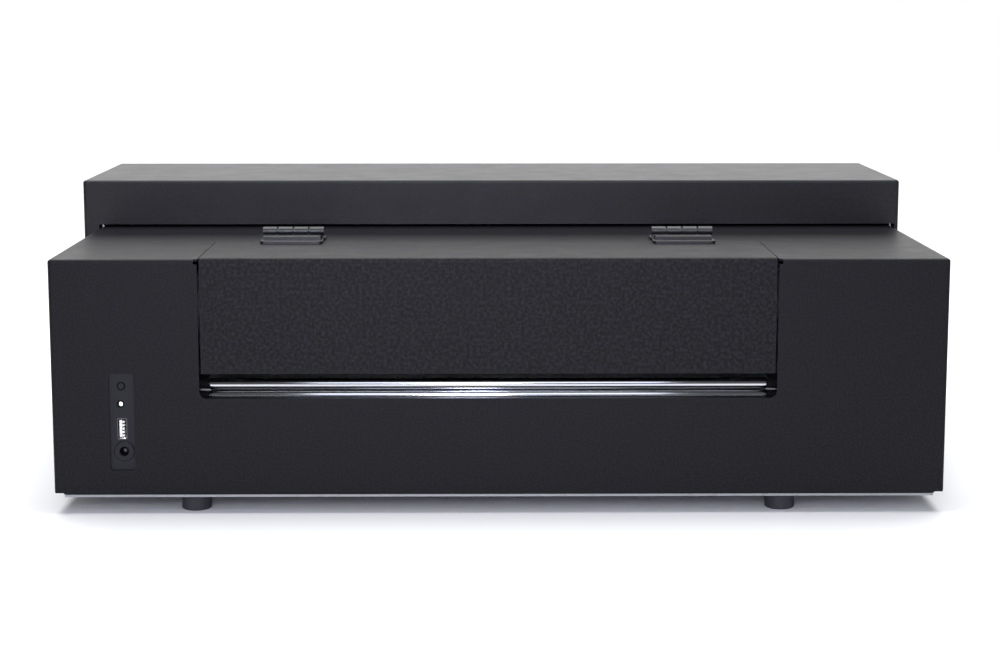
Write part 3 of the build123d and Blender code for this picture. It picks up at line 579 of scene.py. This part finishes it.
portTrim = {
    "springs": 5, "springWidth": 0.0013, "springSheet": 0.0005, "springWave": 0.0019, "springSpans": 14,
    "springLead": 0.0007, "springReach": 0.75, "springClear": 0.0001, "waveStart": 0.12, "waveTurns": 2.4,
    "latchInset": 0.0012, "latchBack": 0.004, "latchFront": 0.0002, "latchLow": 0.0005, "latchHigh": 0.0011,
    "jackRing": (0.0031, 0.0039), "ledRing": (0.0016, 0.0026), "resetRing": (0.0020, 0.0029),
    "ringProud": 0.0002, "jackProud": 0.0005, "ringDepth": 0.0008, "ringEdge": 0.0001,
}


def addFaceRing(name, node, radii, finish, slot, proud=portTrim["ringProud"]):
    # a thin ring set in the rear face round a round piece
    low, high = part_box(node)
    inner, outer = radii
    depth, edge = portTrim["ringDepth"], portTrim["ringEdge"]
    x, z = (low.x + high.x) / 2, (low.z + high.z) / 2
    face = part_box("connector_plate")[1].y
    shape = bmesh.new()
    profile = [(inner, -depth), (outer, -depth), (outer, proud * 0.4), (outer - edge, proud),
               (inner + 2 * edge, proud), (inner, proud * 0.3)]
    addTurned(shape, profile, (x, face, z), (0, 1, 0))
    addPiece(name, meshOf(name, shape), finish, "chassis", slot)


def addUsbSprings():
    # gilt contact strips on the tongue, each with its slight wave
    low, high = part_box("usb_tongue")
    step = (high.z - low.z) / portTrim["springs"]
    wide, thin, wave = portTrim["springWidth"] / 2, portTrim["springSheet"], portTrim["springWave"]
    spans, front = portTrim["springSpans"], high.y + portTrim["springLead"]
    shape = bmesh.new()
    for number in range(portTrim["springs"]):
        z = low.z + (number + 0.5) * step
        previous = None
        for i in range(spans + 1):
            share = i / spans
            y = front - share * (high.y - low.y) * portTrim["springReach"]
            bow = math.sin(math.pi * min(1.0, portTrim["waveStart"] + share * portTrim["waveTurns"])) ** 2
            x = low.x - portTrim["springClear"] - wave * bow
            row = [shape.verts.new((x - thin * a, y, z + wide * b))
                   for a, b in ((0, -1), (0, 1), (1, 1), (1, -1))]
            if previous:
                for k in range(4):
                    shape.faces.new((previous[k], previous[(k + 1) % 4], row[(k + 1) % 4], row[k]))
            else:
                shape.faces.new(row)
            previous = row
        shape.faces.new(list(reversed(previous)))
    addPiece("usbSprings", meshOf("usbSprings", shape), "gilt", "chassis", "usb_plastic")


def addUsbLatch():
    # bright lip across the low end of the socket
    low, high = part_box("usb_shell")
    inset = portTrim["latchInset"]
    shape = bmesh.new()
    addSlab(shape, (low.x + inset, high.y - portTrim["latchBack"], low.z + portTrim["latchLow"]),
            (high.x - inset, high.y - portTrim["latchFront"], low.z + portTrim["latchHigh"]), 0.0002)
    addPiece("usbLatch", meshOf("usbLatch", shape), "gilt", "chassis", "bare_steel")


addUsbSprings()
addUsbLatch()
addFaceRing("jackRing", "dc_jack_pin", portTrim["jackRing"], "darkMetalPinShade", "black_plastic",
            portTrim["jackProud"])
addFaceRing("ledRing", "status_led", portTrim["ledRing"], "shadow", "black_plastic")
addFaceRing("resetRing", "reset_button", portTrim["resetRing"], "shadow", "black_plastic")
print("rear sockets trimmed")


# rollers

rollerShape = {"journal": 0.002, "bushGap": 0.00035, "neck": 0.0006, "lead": 0.0008, "steps": 96}


def addRoller(name, node, body):
    # ground roller with turned-down journals and a soft edge at each end
    low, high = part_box(node)
    y, z = (low.y + high.y) / 2, (low.z + high.z) / 2
    big = (high.z - low.z) / 2
    bushes = [box for box in solidsOf("roller_bushes")
              if abs((box[0].y + box[1].y) / 2 - y) < big and abs((box[0].z + box[1].z) / 2 - z) < big / 2]
    journal, bushGap = rollerShape["journal"], rollerShape["bushGap"]
    left = min(box[1].x for box in bushes) + bushGap
    right = max(box[0].x for box in bushes) - bushGap
    lead, neck = rollerShape["lead"], rollerShape["neck"]
    profile = [(0, low.x), (journal - neck / 2, low.x), (journal, low.x + neck), (journal, left),
               (big - lead / 2, left), (big, left + lead), (big, right - lead), (big - lead / 2, right),
               (journal, right), (journal, high.x - neck), (journal - neck / 2, high.x), (0, high.x)]
    shape = bmesh.new()
    addTurned(shape, profile, (0, y, z), (1, 0, 0), rollerShape["steps"])
    addPiece(name, meshOf(name, shape, 30), "roller", body, "roller_steel", node)


for end in ("outfeed", "infeed"):
    for level in ("lower", "upper"):
        addRoller(f"{end}Roller{level.title()}", f"{end}_roller_{level}", f"{end}_{level}")
print("rollers turned")


# belts and toothed pulleys

pulleyShape = {
    "teeth": 20, "rootDepth": 0.0009, "toothDeep": 0.0011, "toothWide": 0.0009, "toothLift": 0.0004,
    "shaft": 0.0023, "shaftTip": 0.0021, "shaftLead": 0.0003, "idlerBore": 0.00255,
}


def beltPath(wheels, radius):
    # points of a closed loop round equal wheels, given in turning order, in a plane's own x and y
    points = []
    for i, (cx, cy) in enumerate(wheels):
        before, after = wheels[i - 1], wheels[(i + 1) % len(wheels)]
        start = math.atan2(cy - before[1], cx - before[0]) - math.pi / 2
        end = math.atan2(after[1] - cy, after[0] - cx) - math.pi / 2
        while end < start:
            end += 2 * math.pi
        steps = max(3, round((end - start) / math.radians(beltShape["bendStep"])))
        for step in range(steps + 1):
            angle = start + (end - start) * step / steps
            points.append((cx + radius * math.cos(angle), cy + radius * math.sin(angle), 0))
    return points


def addBelt(name, node, wheels, radius, across, place):
    # the loop is grown flat, then stood up by place
    points = beltPath(wheels, radius)
    mesh = bpy.data.meshes.new(name)
    mesh.from_pydata(points, [(i, (i + 1) % len(points)) for i in range(len(points))], [])
    tooth = (beltShape["tooth"], across * beltShape["toothReach"],
             beltShape["pitch"] * beltShape["toothFill"])
    values = {"Pitch": beltShape["pitch"], "Width": across, "Band": beltShape["band"], "Tooth": tooth}
    piece = grow(name, mesh, growBelt, values, "belt", "chassis", "belt_rubber", node)
    piece.data.transform(place)


def addPulley(name, node, body, axis, wheel, hub):
    # toothed drum between thin flanges, on its own shaft where its hub is solid
    low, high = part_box(node)
    along = Vector(axis)
    centre = (low + high) / 2
    across = centre - along * centre.dot(along)
    radius = (high.z - low.z) / 2
    start, end = wheel
    root, lip = radius - pulleyShape["rootDepth"], beltShape["flange"]
    rim = radius + beltShape["flangeRise"]
    profile = [(hub, start), (rim, start), (rim, start + lip), (root, start + lip),
               (root, end - lip), (rim, end - lip), (rim, end), (hub, end)]
    shape = bmesh.new()
    addTurned(shape, profile, across, along, 64)
    turn = Vector((0, 0, 1)).rotation_difference(along).to_matrix()
    deep, wide, lift = pulleyShape["toothDeep"], pulleyShape["toothWide"], pulleyShape["toothLift"]
    for number in range(pulleyShape["teeth"]):
        spin = Matrix.Rotation(2 * math.pi * number / pulleyShape["teeth"], 3, "Z")
        made = bmesh.ops.create_cube(shape, size=1.0)["verts"]
        for vert in made:
            corner = Vector((vert.co.x * deep + root + lift, vert.co.y * wide,
                             vert.co.z * (end - start - lip) + (start + end) / 2))
            vert.co = turn @ (spin @ corner) + across
    if hub == 0:
        shaftLow, shaftHigh = low.dot(along), high.dot(along)
        thick, tip, lead = pulleyShape["shaft"], pulleyShape["shaftTip"], pulleyShape["shaftLead"]
        shaft = [(0, shaftLow), (tip, shaftLow), (thick, shaftLow + lead),
                 (thick, shaftHigh - lead), (tip, shaftHigh), (0, shaftHigh)]
        addTurned(shape, shaft, across, along, 32)
    addPiece(name, meshOf(name, shape), "aluminium", body, "bed_aluminium", node)


feedLow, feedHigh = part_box("outfeed_pulley")
feedWheel = (feedLow.x, feedHigh.x)
idlerLow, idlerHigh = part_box("belt_idler_pulley")
carriageWheel = (idlerLow.y, idlerHigh.y)
journal = rollerShape["journal"]
addPulley("outfeedPulley", "outfeed_pulley", "outfeed_lower", (1, 0, 0), feedWheel, journal)
addPulley("infeedPulley", "infeed_pulley", "infeed_lower", (1, 0, 0), feedWheel, journal)
addPulley("feedMotorPulley", "feed_motor_pulley", "feed_shaft", (1, 0, 0), feedWheel, 0)
addPulley("beltDrivePulley", "belt_drive_pulley", "belt_drive", (0, 1, 0), carriageWheel, 0)
addPulley("beltIdlerPulley", "belt_idler_pulley", "belt_idler", (0, 1, 0), carriageWheel,
          pulleyShape["idlerBore"])


def middleOf(node):
    low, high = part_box(node)
    return (low + high) / 2


beltLow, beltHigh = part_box("feed_belt")
loopRadius = (beltHigh.z - middleOf("outfeed_pulley").z) - beltShape["band"] / 2
feedWheels = [(middleOf(node).y, middleOf(node).z)
              for node in ("outfeed_pulley", "infeed_pulley", "feed_motor_pulley")]
standFeed = Matrix(((0, 0, 1, (beltLow.x + beltHigh.x) / 2), (1, 0, 0, 0), (0, 1, 0, 0), (0, 0, 0, 1)))
addBelt("feedBelt", "feed_belt", feedWheels, loopRadius, beltHigh.x - beltLow.x, standFeed)

beltLow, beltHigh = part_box("carriage_belt")
driveWheels = [(middleOf(node).x, middleOf(node).z) for node in ("belt_drive_pulley", "belt_idler_pulley")]
standDrive = Matrix(((1, 0, 0, 0), (0, 0, -1, (beltLow.y + beltHigh.y) / 2), (0, 1, 0, 0), (0, 0, 0, 1)))
addBelt("carriageBelt", "carriage_belt", driveWheels, loopRadius, beltHigh.y - beltLow.y, standDrive)
print("belts and pulleys made")


# flat bed

bedHoles = {"pitch": 0.018, "margin": 0.016, "radius": 0.0011, "rim": 0.0019, "rise": 0.00008, "sides": 10}


def addBedHoles():
    # suction holes, each a black disc in a countersunk rim: the disc is painted shade, standing for the dark
    # depth of the hole
    low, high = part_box("platen")
    pitch, margin = bedHoles["pitch"], bedHoles["margin"]
    columns = int((high.x - low.x - 2 * margin) / pitch) + 1
    rows = int((high.y - low.y - 2 * margin) / pitch) + 1
    corner = ((low.x + high.x - (columns - 1) * pitch) / 2,
              (low.y + high.y - (rows - 1) * pitch) / 2, high.z)
    values = {"Columns": columns, "Rows": rows, "Column pitch": pitch, "Row pitch": pitch, "Corner": corner}
    radius, rim, rise, sides = bedHoles["radius"], bedHoles["rim"], bedHoles["rise"], bedHoles["sides"]
    # a black disc across each hole: painted shade for the unlit inside of the hole
    holeShade = bmesh.new()
    holeShadeProfile = [(0, -rise), (radius, -rise), (radius, rise * 0.6), (0, rise * 0.6)]
    addTurned(holeShade, holeShadeProfile, (0, 0, 0), (0, 0, 1), sides)
    grow("bedHoleMouths", meshOf("bedHoleMouths", holeShade), onGrid, values,
         "plastic", "chassis", "black_plastic")
    lip = bmesh.new()
    lipProfile = [(radius, -rise), (rim, -rise), (rim, rise * 0.3), (radius, rise)]
    addTurned(lip, lipProfile, (0, 0, 0), (0, 0, 1), sides)
    grow("bedHoleRims", meshOf("bedHoleRims", lip), onGrid, values,
         "aluminium", "chassis", "bed_aluminium")


addBedHoles()
print("bed drilled")


# print carriage

inkColours = {"cyan": (0.0, 0.22, 0.52), "magenta": (0.5, 0.01, 0.16), "yellow": (0.75, 0.5, 0.01),
              "black": (0.012, 0.012, 0.014), "white": (0.78, 0.78, 0.76), "varnish": (0.46, 0.4, 0.3)}
capTrim = {
    "radius": 0.0042, "height": 0.0055, "back": 0.012, "flange": 0.0006, "flangeHigh": 0.0005,
    "flangeTop": 0.0008, "lead": 0.0006, "dish": 0.0004,
    "ribs": 18, "ribRoot": 0.0005, "ribProud": 0.0003, "ribHalf": 0.0003, "ribLow": 0.0006, "ribTop": 0.0008,
    "band": 0.0004, "bandInset": 0.0012, "bandSink": 0.0001, "bandLow": 0.010, "bandTop": 0.012,
    "nearBandTop": 0.018, "bandEdge": 0.00015,
}
nozzleTrim = {
    "sideInset": 0.006, "endInset": 0.007, "sheetHalf": 0.0002, "margin": 0.018, "start": 0.009,
    "columns": 6, "columnPitch": 0.004, "side": 0.010, "pitch": 0.0012, "radius": 0.00025, "depth": 0.0003,
}
lampTrim = {
    "pitch": 0.005, "half": 0.0013, "low": 0.0006, "high": 0.0002, "edge": 0.0002,
    "domeTip": 0.0011, "domeShoulder": (0.0006, -0.0010), "domeRadius": 0.0009,
}


def addCartridgeTrim():
    # a ribbed filler cap and a coloured band on each cartridge
    radius, height = capTrim["radius"], capTrim["height"]
    half, flange, dish = capTrim["ribHalf"], capTrim["flange"], capTrim["dish"]
    band, inset, sink = capTrim["band"], capTrim["bandInset"], capTrim["bandSink"]
    profile = [(0, 0), (radius + flange, 0), (radius + flange, capTrim["flangeHigh"]),
               (radius, capTrim["flangeTop"]), (radius, height - capTrim["lead"]),
               (radius - capTrim["lead"], height), (radius * 0.5, height),
               (radius * 0.45, height - dish), (0, height - dish)]
    for (low, high), (ink, colour) in zip(solidsOf("ink_cartridges"), inkColours.items()):
        finishes[ink] = mouldedPlastic(ink + "Cap", colour, 0.32, 600.0)
        centre = Vector(((low.x + high.x) / 2, (low.y + high.y) / 2 + capTrim["back"], high.z))
        rib = bmesh.new()
        addSlab(rib, (radius - capTrim["ribRoot"], -half, capTrim["ribLow"]),
                (radius + capTrim["ribProud"], half, height - capTrim["ribTop"]), 0.0001)
        grow(ink + "CapRibs", meshOf(ink + "CapRibs", rib), onRing,
             {"Count": capTrim["ribs"], "Centre": centre}, ink, "carriage", "ink_plastic")
        shape = bmesh.new()
        addTurned(shape, profile, centre, (0, 0, 1), 48)
        addSlab(shape, (low.x + inset, high.y - sink, low.z + capTrim["bandLow"]),
                (high.x - inset, high.y + band, high.z - capTrim["bandTop"]), capTrim["bandEdge"])
        addSlab(shape, (low.x + inset, low.y - band, low.z + capTrim["bandLow"]),
                (high.x - inset, low.y + sink, high.z - capTrim["nearBandTop"]), capTrim["bandEdge"])
        addPiece(ink + "Cap", meshOf(ink + "Cap", shape), ink, "carriage", "ink_plastic")


def addNozzlePlate():
    # steel plate under the head, with its rows of nozzles, each a black dot of painted shade for the dark
    # inside its hole
    low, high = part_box("print_head")
    side, end, half = nozzleTrim["sideInset"], nozzleTrim["endInset"], nozzleTrim["sheetHalf"]
    plate = bmesh.new()
    addSlab(plate, (low.x + side, low.y + end, low.z - half),
            (high.x - side, high.y - end, low.z + half), 0.0001)
    addPiece("nozzlePlate", meshOf("nozzlePlate", plate), "roller", "carriage", "roller_steel")
    radius, depth, pitch = nozzleTrim["radius"], nozzleTrim["depth"], nozzleTrim["pitch"]
    # each nozzle a black dot: painted shade for the dark inside the hole
    nozzle = bmesh.new()
    addTurned(nozzle, [(0, -depth), (radius, -depth), (radius, 0), (0, 0)], (0, 0, 0), (0, 0, 1), 6)
    values = {"Columns": nozzleTrim["columns"], "Rows": int((high.y - low.y - nozzleTrim["margin"]) / pitch),
              "Column pitch": nozzleTrim["columnPitch"], "Row pitch": pitch,
              "Corner": ((low.x + high.x) / 2 - nozzleTrim["side"], low.y + nozzleTrim["start"], low.z)}
    grow("nozzleRows", meshOf("nozzleRows", nozzle), onGrid, values, "plastic", "carriage", "black_plastic")


def addLampLeds():
    # square diodes with small domes, over the lens
    low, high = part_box("lamp_lens")
    pitch, half, base = lampTrim["pitch"], lampTrim["half"], lampTrim["low"]
    led = bmesh.new()
    addSlab(led, (-half, -half, -base), (half, half, lampTrim["high"]), lampTrim["edge"])
    dome = [(0, -lampTrim["domeTip"]), lampTrim["domeShoulder"], (lampTrim["domeRadius"], -base), (0, -base)]
    addTurned(led, dome, (0, 0, 0), (0, 0, 1), 12)
    columns, rows = int((high.x - low.x) / pitch), int((high.y - low.y) / pitch)
    values = {"Columns": columns, "Rows": rows, "Column pitch": pitch, "Row pitch": pitch,
              "Corner": ((low.x + high.x - (columns - 1) * pitch) / 2,
                         (low.y + high.y - (rows - 1) * pitch) / 2, high.z)}
    grow("lampLeds", meshOf("lampLeds", led), onGrid, values, "violet", "carriage", "lens_glass")


addCartridgeTrim()
addNozzlePlate()
addLampLeds()
print("carriage trimmed")


# main board

boardSheet = {"thick": 0.0016, "edge": 0.0003}
mainChip = {"side": 0.018, "start": 0.030, "wide": 0.020, "deep": 0.020, "tall": 0.0025,
            "inset": 0.002, "lift": 0.0003, "edge": 0.0003}
smallChips = {"count": 3, "wide": 0.006, "gap": 0.003, "near": 0.012, "far": 0.008, "tall": 0.0015,
              "stagger": 0.0001, "edge": 0.0002}
chipLeg = {"count": 14, "pitch": 0.0011, "inset": 0.0012, "halfWide": 0.0002, "halfLong": 0.001,
           "tall": 0.0009, "edge": 0.0001}
boardPlug = {"side": 0.014, "start": 0.066, "wide": 0.016, "deep": 0.026, "tall": 0.009,
             "wall": 0.0012, "floor": 0.002, "edge": 0.0002}
plugPin = {"columns": 4, "rows": 8, "pitch": 0.0028, "half": 0.0003, "low": 0.002, "high": 0.008,
           "edge": 0.0001}
boardCan = {"side": 0.012, "start": 0.024, "pitch": 0.014, "count": 4, "radius": 0.004, "height": 0.012,
            "lead": 0.0005, "foot": 0.0004, "groove": (0.0016, 0.002, 0.0024), "grooveDeep": 0.0004,
            "dish": 0.0002}


def addBoardChips(low, top):
    # one large chip, and a row of small ones beside it
    x, y, inset = low.x + mainChip["side"], low.y + mainChip["start"], mainChip["inset"]
    shape = bmesh.new()
    addSlab(shape, (x + inset, y + inset, top + mainChip["lift"]),
            (x + mainChip["wide"] - inset, y + mainChip["deep"] - inset, top + mainChip["tall"]),
            mainChip["edge"])
    for number in range(smallChips["count"]):
        near = y - smallChips["near"] + number * smallChips["stagger"]
        addSlab(shape, (x, near, top),
                (x + smallChips["wide"], y - smallChips["far"], top + smallChips["tall"]), smallChips["edge"])
        x += smallChips["wide"] + smallChips["gap"]
    addPiece("boardChips", meshOf("boardChips", shape), "plastic", "chassis", "black_plastic")


def addChipLegs(low, top):
    # a row of legs along each side of the large chip
    half, reach, count, pitch = chipLeg["halfWide"], chipLeg["halfLong"], chipLeg["count"], chipLeg["pitch"]
    shape = bmesh.new()
    addSlab(shape, (-half, -reach, 0), (half, reach, chipLeg["tall"]), chipLeg["edge"])
    legMesh = meshOf("chipLegs", shape)
    first = low.x + mainChip["side"] + mainChip["wide"] / 2 - (count - 1) * (pitch / 2)
    near = low.y + mainChip["start"] + chipLeg["inset"]
    far = low.y + mainChip["start"] + mainChip["deep"] - chipLeg["inset"]
    for side, legY in (("Near", near), ("Far", far)):
        values = {"Columns": count, "Rows": 1, "Column pitch": pitch, "Row pitch": 0.001,
                  "Corner": (first, legY, top)}
        grow("chipLegs" + side, legMesh, onGrid, values, "screw", "chassis", "screw_steel")


def addBoardPlug(low, top):
    # open plug housing with its pins
    x, y = low.x + boardPlug["side"], low.y + boardPlug["start"]
    wide, deep, tall, wall = boardPlug["wide"], boardPlug["deep"], boardPlug["tall"], boardPlug["wall"]
    shape = bmesh.new()
    for x0, x1, y0, y1 in ((x, x + wall, y, y + deep), (x + wide - wall, x + wide, y, y + deep),
                           (x, x + wide, y, y + wall), (x, x + wide, y + deep - wall, y + deep)):
        addSlab(shape, (x0, y0, top), (x1, y1, top + tall), boardPlug["edge"])
    addSlab(shape, (x, y, top), (x + wide, y + deep, top + boardPlug["floor"]), boardPlug["edge"])
    addPiece("boardPlug", meshOf("boardPlug", shape), "tongue", "chassis", "usb_plastic")
    half, pitch, columns, rows = plugPin["half"], plugPin["pitch"], plugPin["columns"], plugPin["rows"]
    pin = bmesh.new()
    addSlab(pin, (-half, -half, plugPin["low"]), (half, half, plugPin["high"]), plugPin["edge"])
    values = {"Columns": columns, "Rows": rows, "Column pitch": pitch, "Row pitch": pitch,
              "Corner": (x + (wide - (columns - 1) * pitch) / 2, y + (deep - (rows - 1) * pitch) / 2, top)}
    grow("boardPins", meshOf("boardPins", pin), onGrid, values, "gilt", "chassis", "screw_steel")


def addBoardCans(low, high, top):
    # a row of capacitor cans, each with its crimp groove
    radius, height, lead = boardCan["radius"], boardCan["height"], boardCan["lead"]
    grooveLow, grooveMiddle, grooveHigh = boardCan["groove"]
    dish = height - boardCan["dish"]
    profile = [(0, 0), (radius - 0.0003, 0), (radius, boardCan["foot"]), (radius, grooveLow),
               (radius - boardCan["grooveDeep"], grooveMiddle), (radius, grooveHigh),
               (radius, height - lead), (radius - lead, height), (radius * 0.6, height),
               (radius * 0.55, dish), (0, dish)]
    can = bmesh.new()
    addTurned(can, profile, (0, 0, 0), (0, 0, 1), 32)
    values = {"Columns": 1, "Rows": boardCan["count"], "Column pitch": 0.001, "Row pitch": boardCan["pitch"],
              "Corner": (high.x - boardCan["side"], low.y + boardCan["start"], top)}
    grow("boardCans", meshOf("boardCans", can), onGrid, values, "motor", "chassis", "motor_black")


def addBoard():
    low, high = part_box("control_board")
    top = low.z + boardSheet["thick"]
    shape = bmesh.new()
    addSlab(shape, low, (high.x, high.y, top), boardSheet["edge"])
    addPiece("boardPlate", meshOf("boardPlate", shape), "board", "chassis", "board_green", "control_board")
    addBoardChips(low, top)
    addChipLegs(low, top)
    addBoardPlug(low, top)
    addBoardCans(low, high, top)


# motors and screws

stepMotor = {"bell": 0.009, "bellEdge": 0.003, "stackInset": 0.0006, "plates": 24, "plateHalf": 0.0002,
             "plateEdge": 0.0001, "lap": 0.001}
finnedMotor = {"lead": 0.0015, "cap": 0.005, "shoulder": 0.0056, "dish": 0.001, "fins": 28,
               "finDepth": 0.0012, "finSink": 0.0003, "finShort": 0.0002, "finHalf": 0.0006,
               "finEdge": 0.0002, "finInset": 0.0052, "cradleInset": 0.003, "cradleSide": 0.002,
               "cradleRise": 0.004, "cradleEdge": 0.001}
screwShape = {"socket": 0.0013, "socketDepth": 0.0008, "edge": 0.0003, "shank": 0.0015, "headHigh": 0.001}


def addCarriageMotor():
    # stepping motor: black stack of plates between two cast ends
    low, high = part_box("carriage_motor")
    bell, lap = stepMotor["bell"], stepMotor["lap"]
    ends = bmesh.new()
    for y0, y1 in ((low.y, low.y + bell), (high.y - bell, high.y)):
        addSlab(ends, (low.x, y0, low.z), (high.x, y1, high.z), stepMotor["bellEdge"])
    addPiece("carriageMotorEnds", meshOf("carriageMotorEnds", ends), "aluminium", "chassis", "motor_black")
    half, thin = (high.x - low.x) / 2 - stepMotor["stackInset"], stepMotor["plateHalf"]
    plate = bmesh.new()
    addSlab(plate, (-half, -thin, -half), (half, thin, half), stepMotor["plateEdge"])
    pitch = (high.y - low.y - 2 * bell + 2 * lap) / stepMotor["plates"]
    centre = (low + high) / 2
    values = {"Columns": 1, "Rows": stepMotor["plates"], "Column pitch": 0.001, "Row pitch": pitch,
              "Corner": (centre.x, low.y + bell - lap + pitch / 2, centre.z)}
    grow("carriageMotorStack", meshOf("carriageMotorStack", plate), onGrid, values,
         "motor", "chassis", "motor_black", "carriage_motor")


def addFeedMotor():
    # round motor with a finned can, on its cradle
    low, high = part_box("feed_motor")
    wheel = middleOf("feed_motor_pulley")
    radius = high.z - wheel.z
    x0, x1 = low.x, high.x
    lead, cap, shoulder, dish = (finnedMotor[size] for size in ("lead", "cap", "shoulder", "dish"))
    inner = radius - finnedMotor["finDepth"]
    profile = [(0, x0), (radius - lead, x0), (radius, x0 + lead), (radius, x0 + cap), (inner, x0 + shoulder),
               (inner, x1 - shoulder), (radius, x1 - cap), (radius, x1 - lead), (radius - lead, x1),
               (radius * 0.45, x1), (radius * 0.4, x1 - dish), (0, x1 - dish)]
    shape = bmesh.new()
    addTurned(shape, profile, (0, wheel.y, wheel.z), (1, 0, 0), 72)
    inset, side = finnedMotor["cradleInset"], finnedMotor["cradleSide"]
    addSlab(shape, (x0 + inset, low.y + side, low.z),
            (x1 - inset, high.y - side, wheel.z - radius + finnedMotor["cradleRise"]),
            finnedMotor["cradleEdge"])
    addPiece("feedMotor", meshOf("feedMotor", shape), "motor", "chassis", "motor_black", "feed_motor")
    half, length = finnedMotor["finHalf"], x1 - x0 - 2 * finnedMotor["finInset"]
    fin = bmesh.new()
    addSlab(fin, (inner - finnedMotor["finSink"], -half, -length / 2),
            (radius - finnedMotor["finShort"], half, length / 2), finnedMotor["finEdge"])
    values = {"Count": finnedMotor["fins"], "Centre": ((x0 + x1) / 2, wheel.y, wheel.z),
              "Turn": (0, math.pi / 2, 0)}
    grow("feedMotorFins", meshOf("feedMotorFins", fin), onRing, values, "motor", "chassis", "motor_black")


def addHousingScrews():
    # button heads with a six-sided key socket, seen from below
    boxes = solidsOf("housing_screws")
    low, high = boxes[0]
    head, length = (high.x - low.x) / 2, high.z - low.z
    socket, deep, edge = screwShape["socket"], screwShape["socketDepth"], screwShape["edge"]
    shank, under = screwShape["shank"], screwShape["headHigh"]
    profile = [(0, deep), (socket, deep), (socket, 0), (head - 2 * edge, 0), (head, edge * 2),
               (head, under), (shank, under), (shank, length - edge), (shank - edge, length), (0, length)]
    shape = bmesh.new()
    addTurned(shape, profile, (0, 0, 0), (0, 0, 1), 36, hexed=(1, 2))
    places = [((low.x + high.x) / 2, (low.y + high.y) / 2, low.z) for low, high in boxes]
    growAt("housingScrews", meshOf("housingScrews", shape), places,
           "screw", "chassis", "screw_steel", "housing_screws")


addBoard()
addCarriageMotor()
addFeedMotor()
addHousingScrews()
print("boards, motors and screws made")


# studio

studio = {
    "cameraSide": 0.0087, "cameraBack": 1.4037, "cameraHeight": 0.3303,
    "pitch": 8.95, "yaw": 0.53, "lens": 76.74,
    "floorSide": 6.0, "floorBack": -3.1, "floorFront": 2.6, "worldStrength": 0.12,
}
studioLights = {
    "overhead": {"place": (0.0, -0.3, 2.6), "target": (0, 0, 0.1), "width": 3.0, "height": 2.4,
                 "power": 112.0, "colour": (1, 1, 1)},
    "farSweep": {"place": (0.0, -3.2, 1.1), "target": (0, 0, 0.15), "width": 6.0, "height": 2.0,
                 "power": 62.0, "colour": (1, 1, 1)},
    "frontSoft": {"place": (0.1, 2.0, 0.55), "target": (0, 0, 0.16), "width": 0.34, "height": 0.6,
                  "power": 17.0, "colour": (0.84, 0.84, 1.0)},
    "frontHigh": {"place": (0.0, 2.6, 1.75), "target": (0, 0, 0.1), "width": 2.6, "height": 1.9,
                  "power": 30.0, "colour": (0.84, 0.88, 1.0)},
}


def addFloor():
    side, back, front = studio["floorSide"], studio["floorBack"], studio["floorFront"]
    mesh = bpy.data.meshes.new("studioFloor")
    corners = [(-side, back, 0), (side, back, 0), (side, front, 0), (-side, front, 0)]
    mesh.from_pydata(corners, [], [(0, 1, 2, 3)])
    floor = bpy.data.objects.new("studioFloor", mesh)
    bpy.context.collection.objects.link(floor)
    material, _, surface = startMaterial("paleFloor", (0.93, 0.93, 0.93), 0.8)
    surface.inputs["Specular IOR Level"].default_value = 0.1
    mesh.materials.append(material)


def addLight(name, place, target, width, height, power, colour):
    data = bpy.data.lights.new(name, "AREA")
    data.shape = "RECTANGLE"
    data.size = width
    data.size_y = height
    data.energy = power
    data.color = colour
    lamp = bpy.data.objects.new(name, data)
    bpy.context.collection.objects.link(lamp)
    lamp.location = place
    lamp.visible_camera = False
    lamp.rotation_euler = (Vector(target) - Vector(place)).to_track_quat("-Z", "Y").to_euler()


def addCamera():
    data = bpy.data.cameras.new("rearView")
    data.sensor_width = 36.0
    data.lens = studio["lens"]
    camera = bpy.data.objects.new("rearView", data)
    bpy.context.collection.objects.link(camera)
    camera.location = (studio["cameraSide"], rearFaceY + studio["cameraBack"],
                       housingLowZ + studio["cameraHeight"])
    pitch = math.radians(studio["pitch"])
    yaw = math.radians(studio["yaw"])
    gaze = Vector((-math.sin(yaw) * math.cos(pitch), -math.cos(yaw) * math.cos(pitch), -math.sin(pitch)))
    camera.rotation_euler = gaze.to_track_quat("-Z", "Y").to_euler()
    bpy.context.scene.camera = camera


def lightWorld():
    # softly lit room, plain white where the camera sees it
    world = bpy.data.worlds.new("studioWorld")
    bpy.context.scene.world = world
    world.use_nodes = True
    tree = world.node_tree
    room = tree.nodes["Background"]
    room.inputs["Color"].default_value = (0.94, 0.97, 1.0, 1)
    room.inputs["Strength"].default_value = studio["worldStrength"]
    white = tree.nodes.new("ShaderNodeBackground")
    white.inputs["Color"].default_value = (1, 1, 1, 1)
    seen = tree.nodes.new("ShaderNodeLightPath")
    choose = tree.nodes.new("ShaderNodeMixShader")
    tree.links.new(seen.outputs["Is Camera Ray"], choose.inputs["Fac"])
    tree.links.new(room.outputs["Background"], choose.inputs[1])
    tree.links.new(white.outputs["Background"], choose.inputs[2])
    tree.links.new(choose.outputs["Shader"], tree.nodes["World Output"].inputs["Surface"])


bpy.context.scene.view_settings.view_transform = "Standard"
addFloor()
lightWorld()
addCamera()
for lightName, light in studioLights.items():
    addLight(lightName, **light)
print("studio ready")
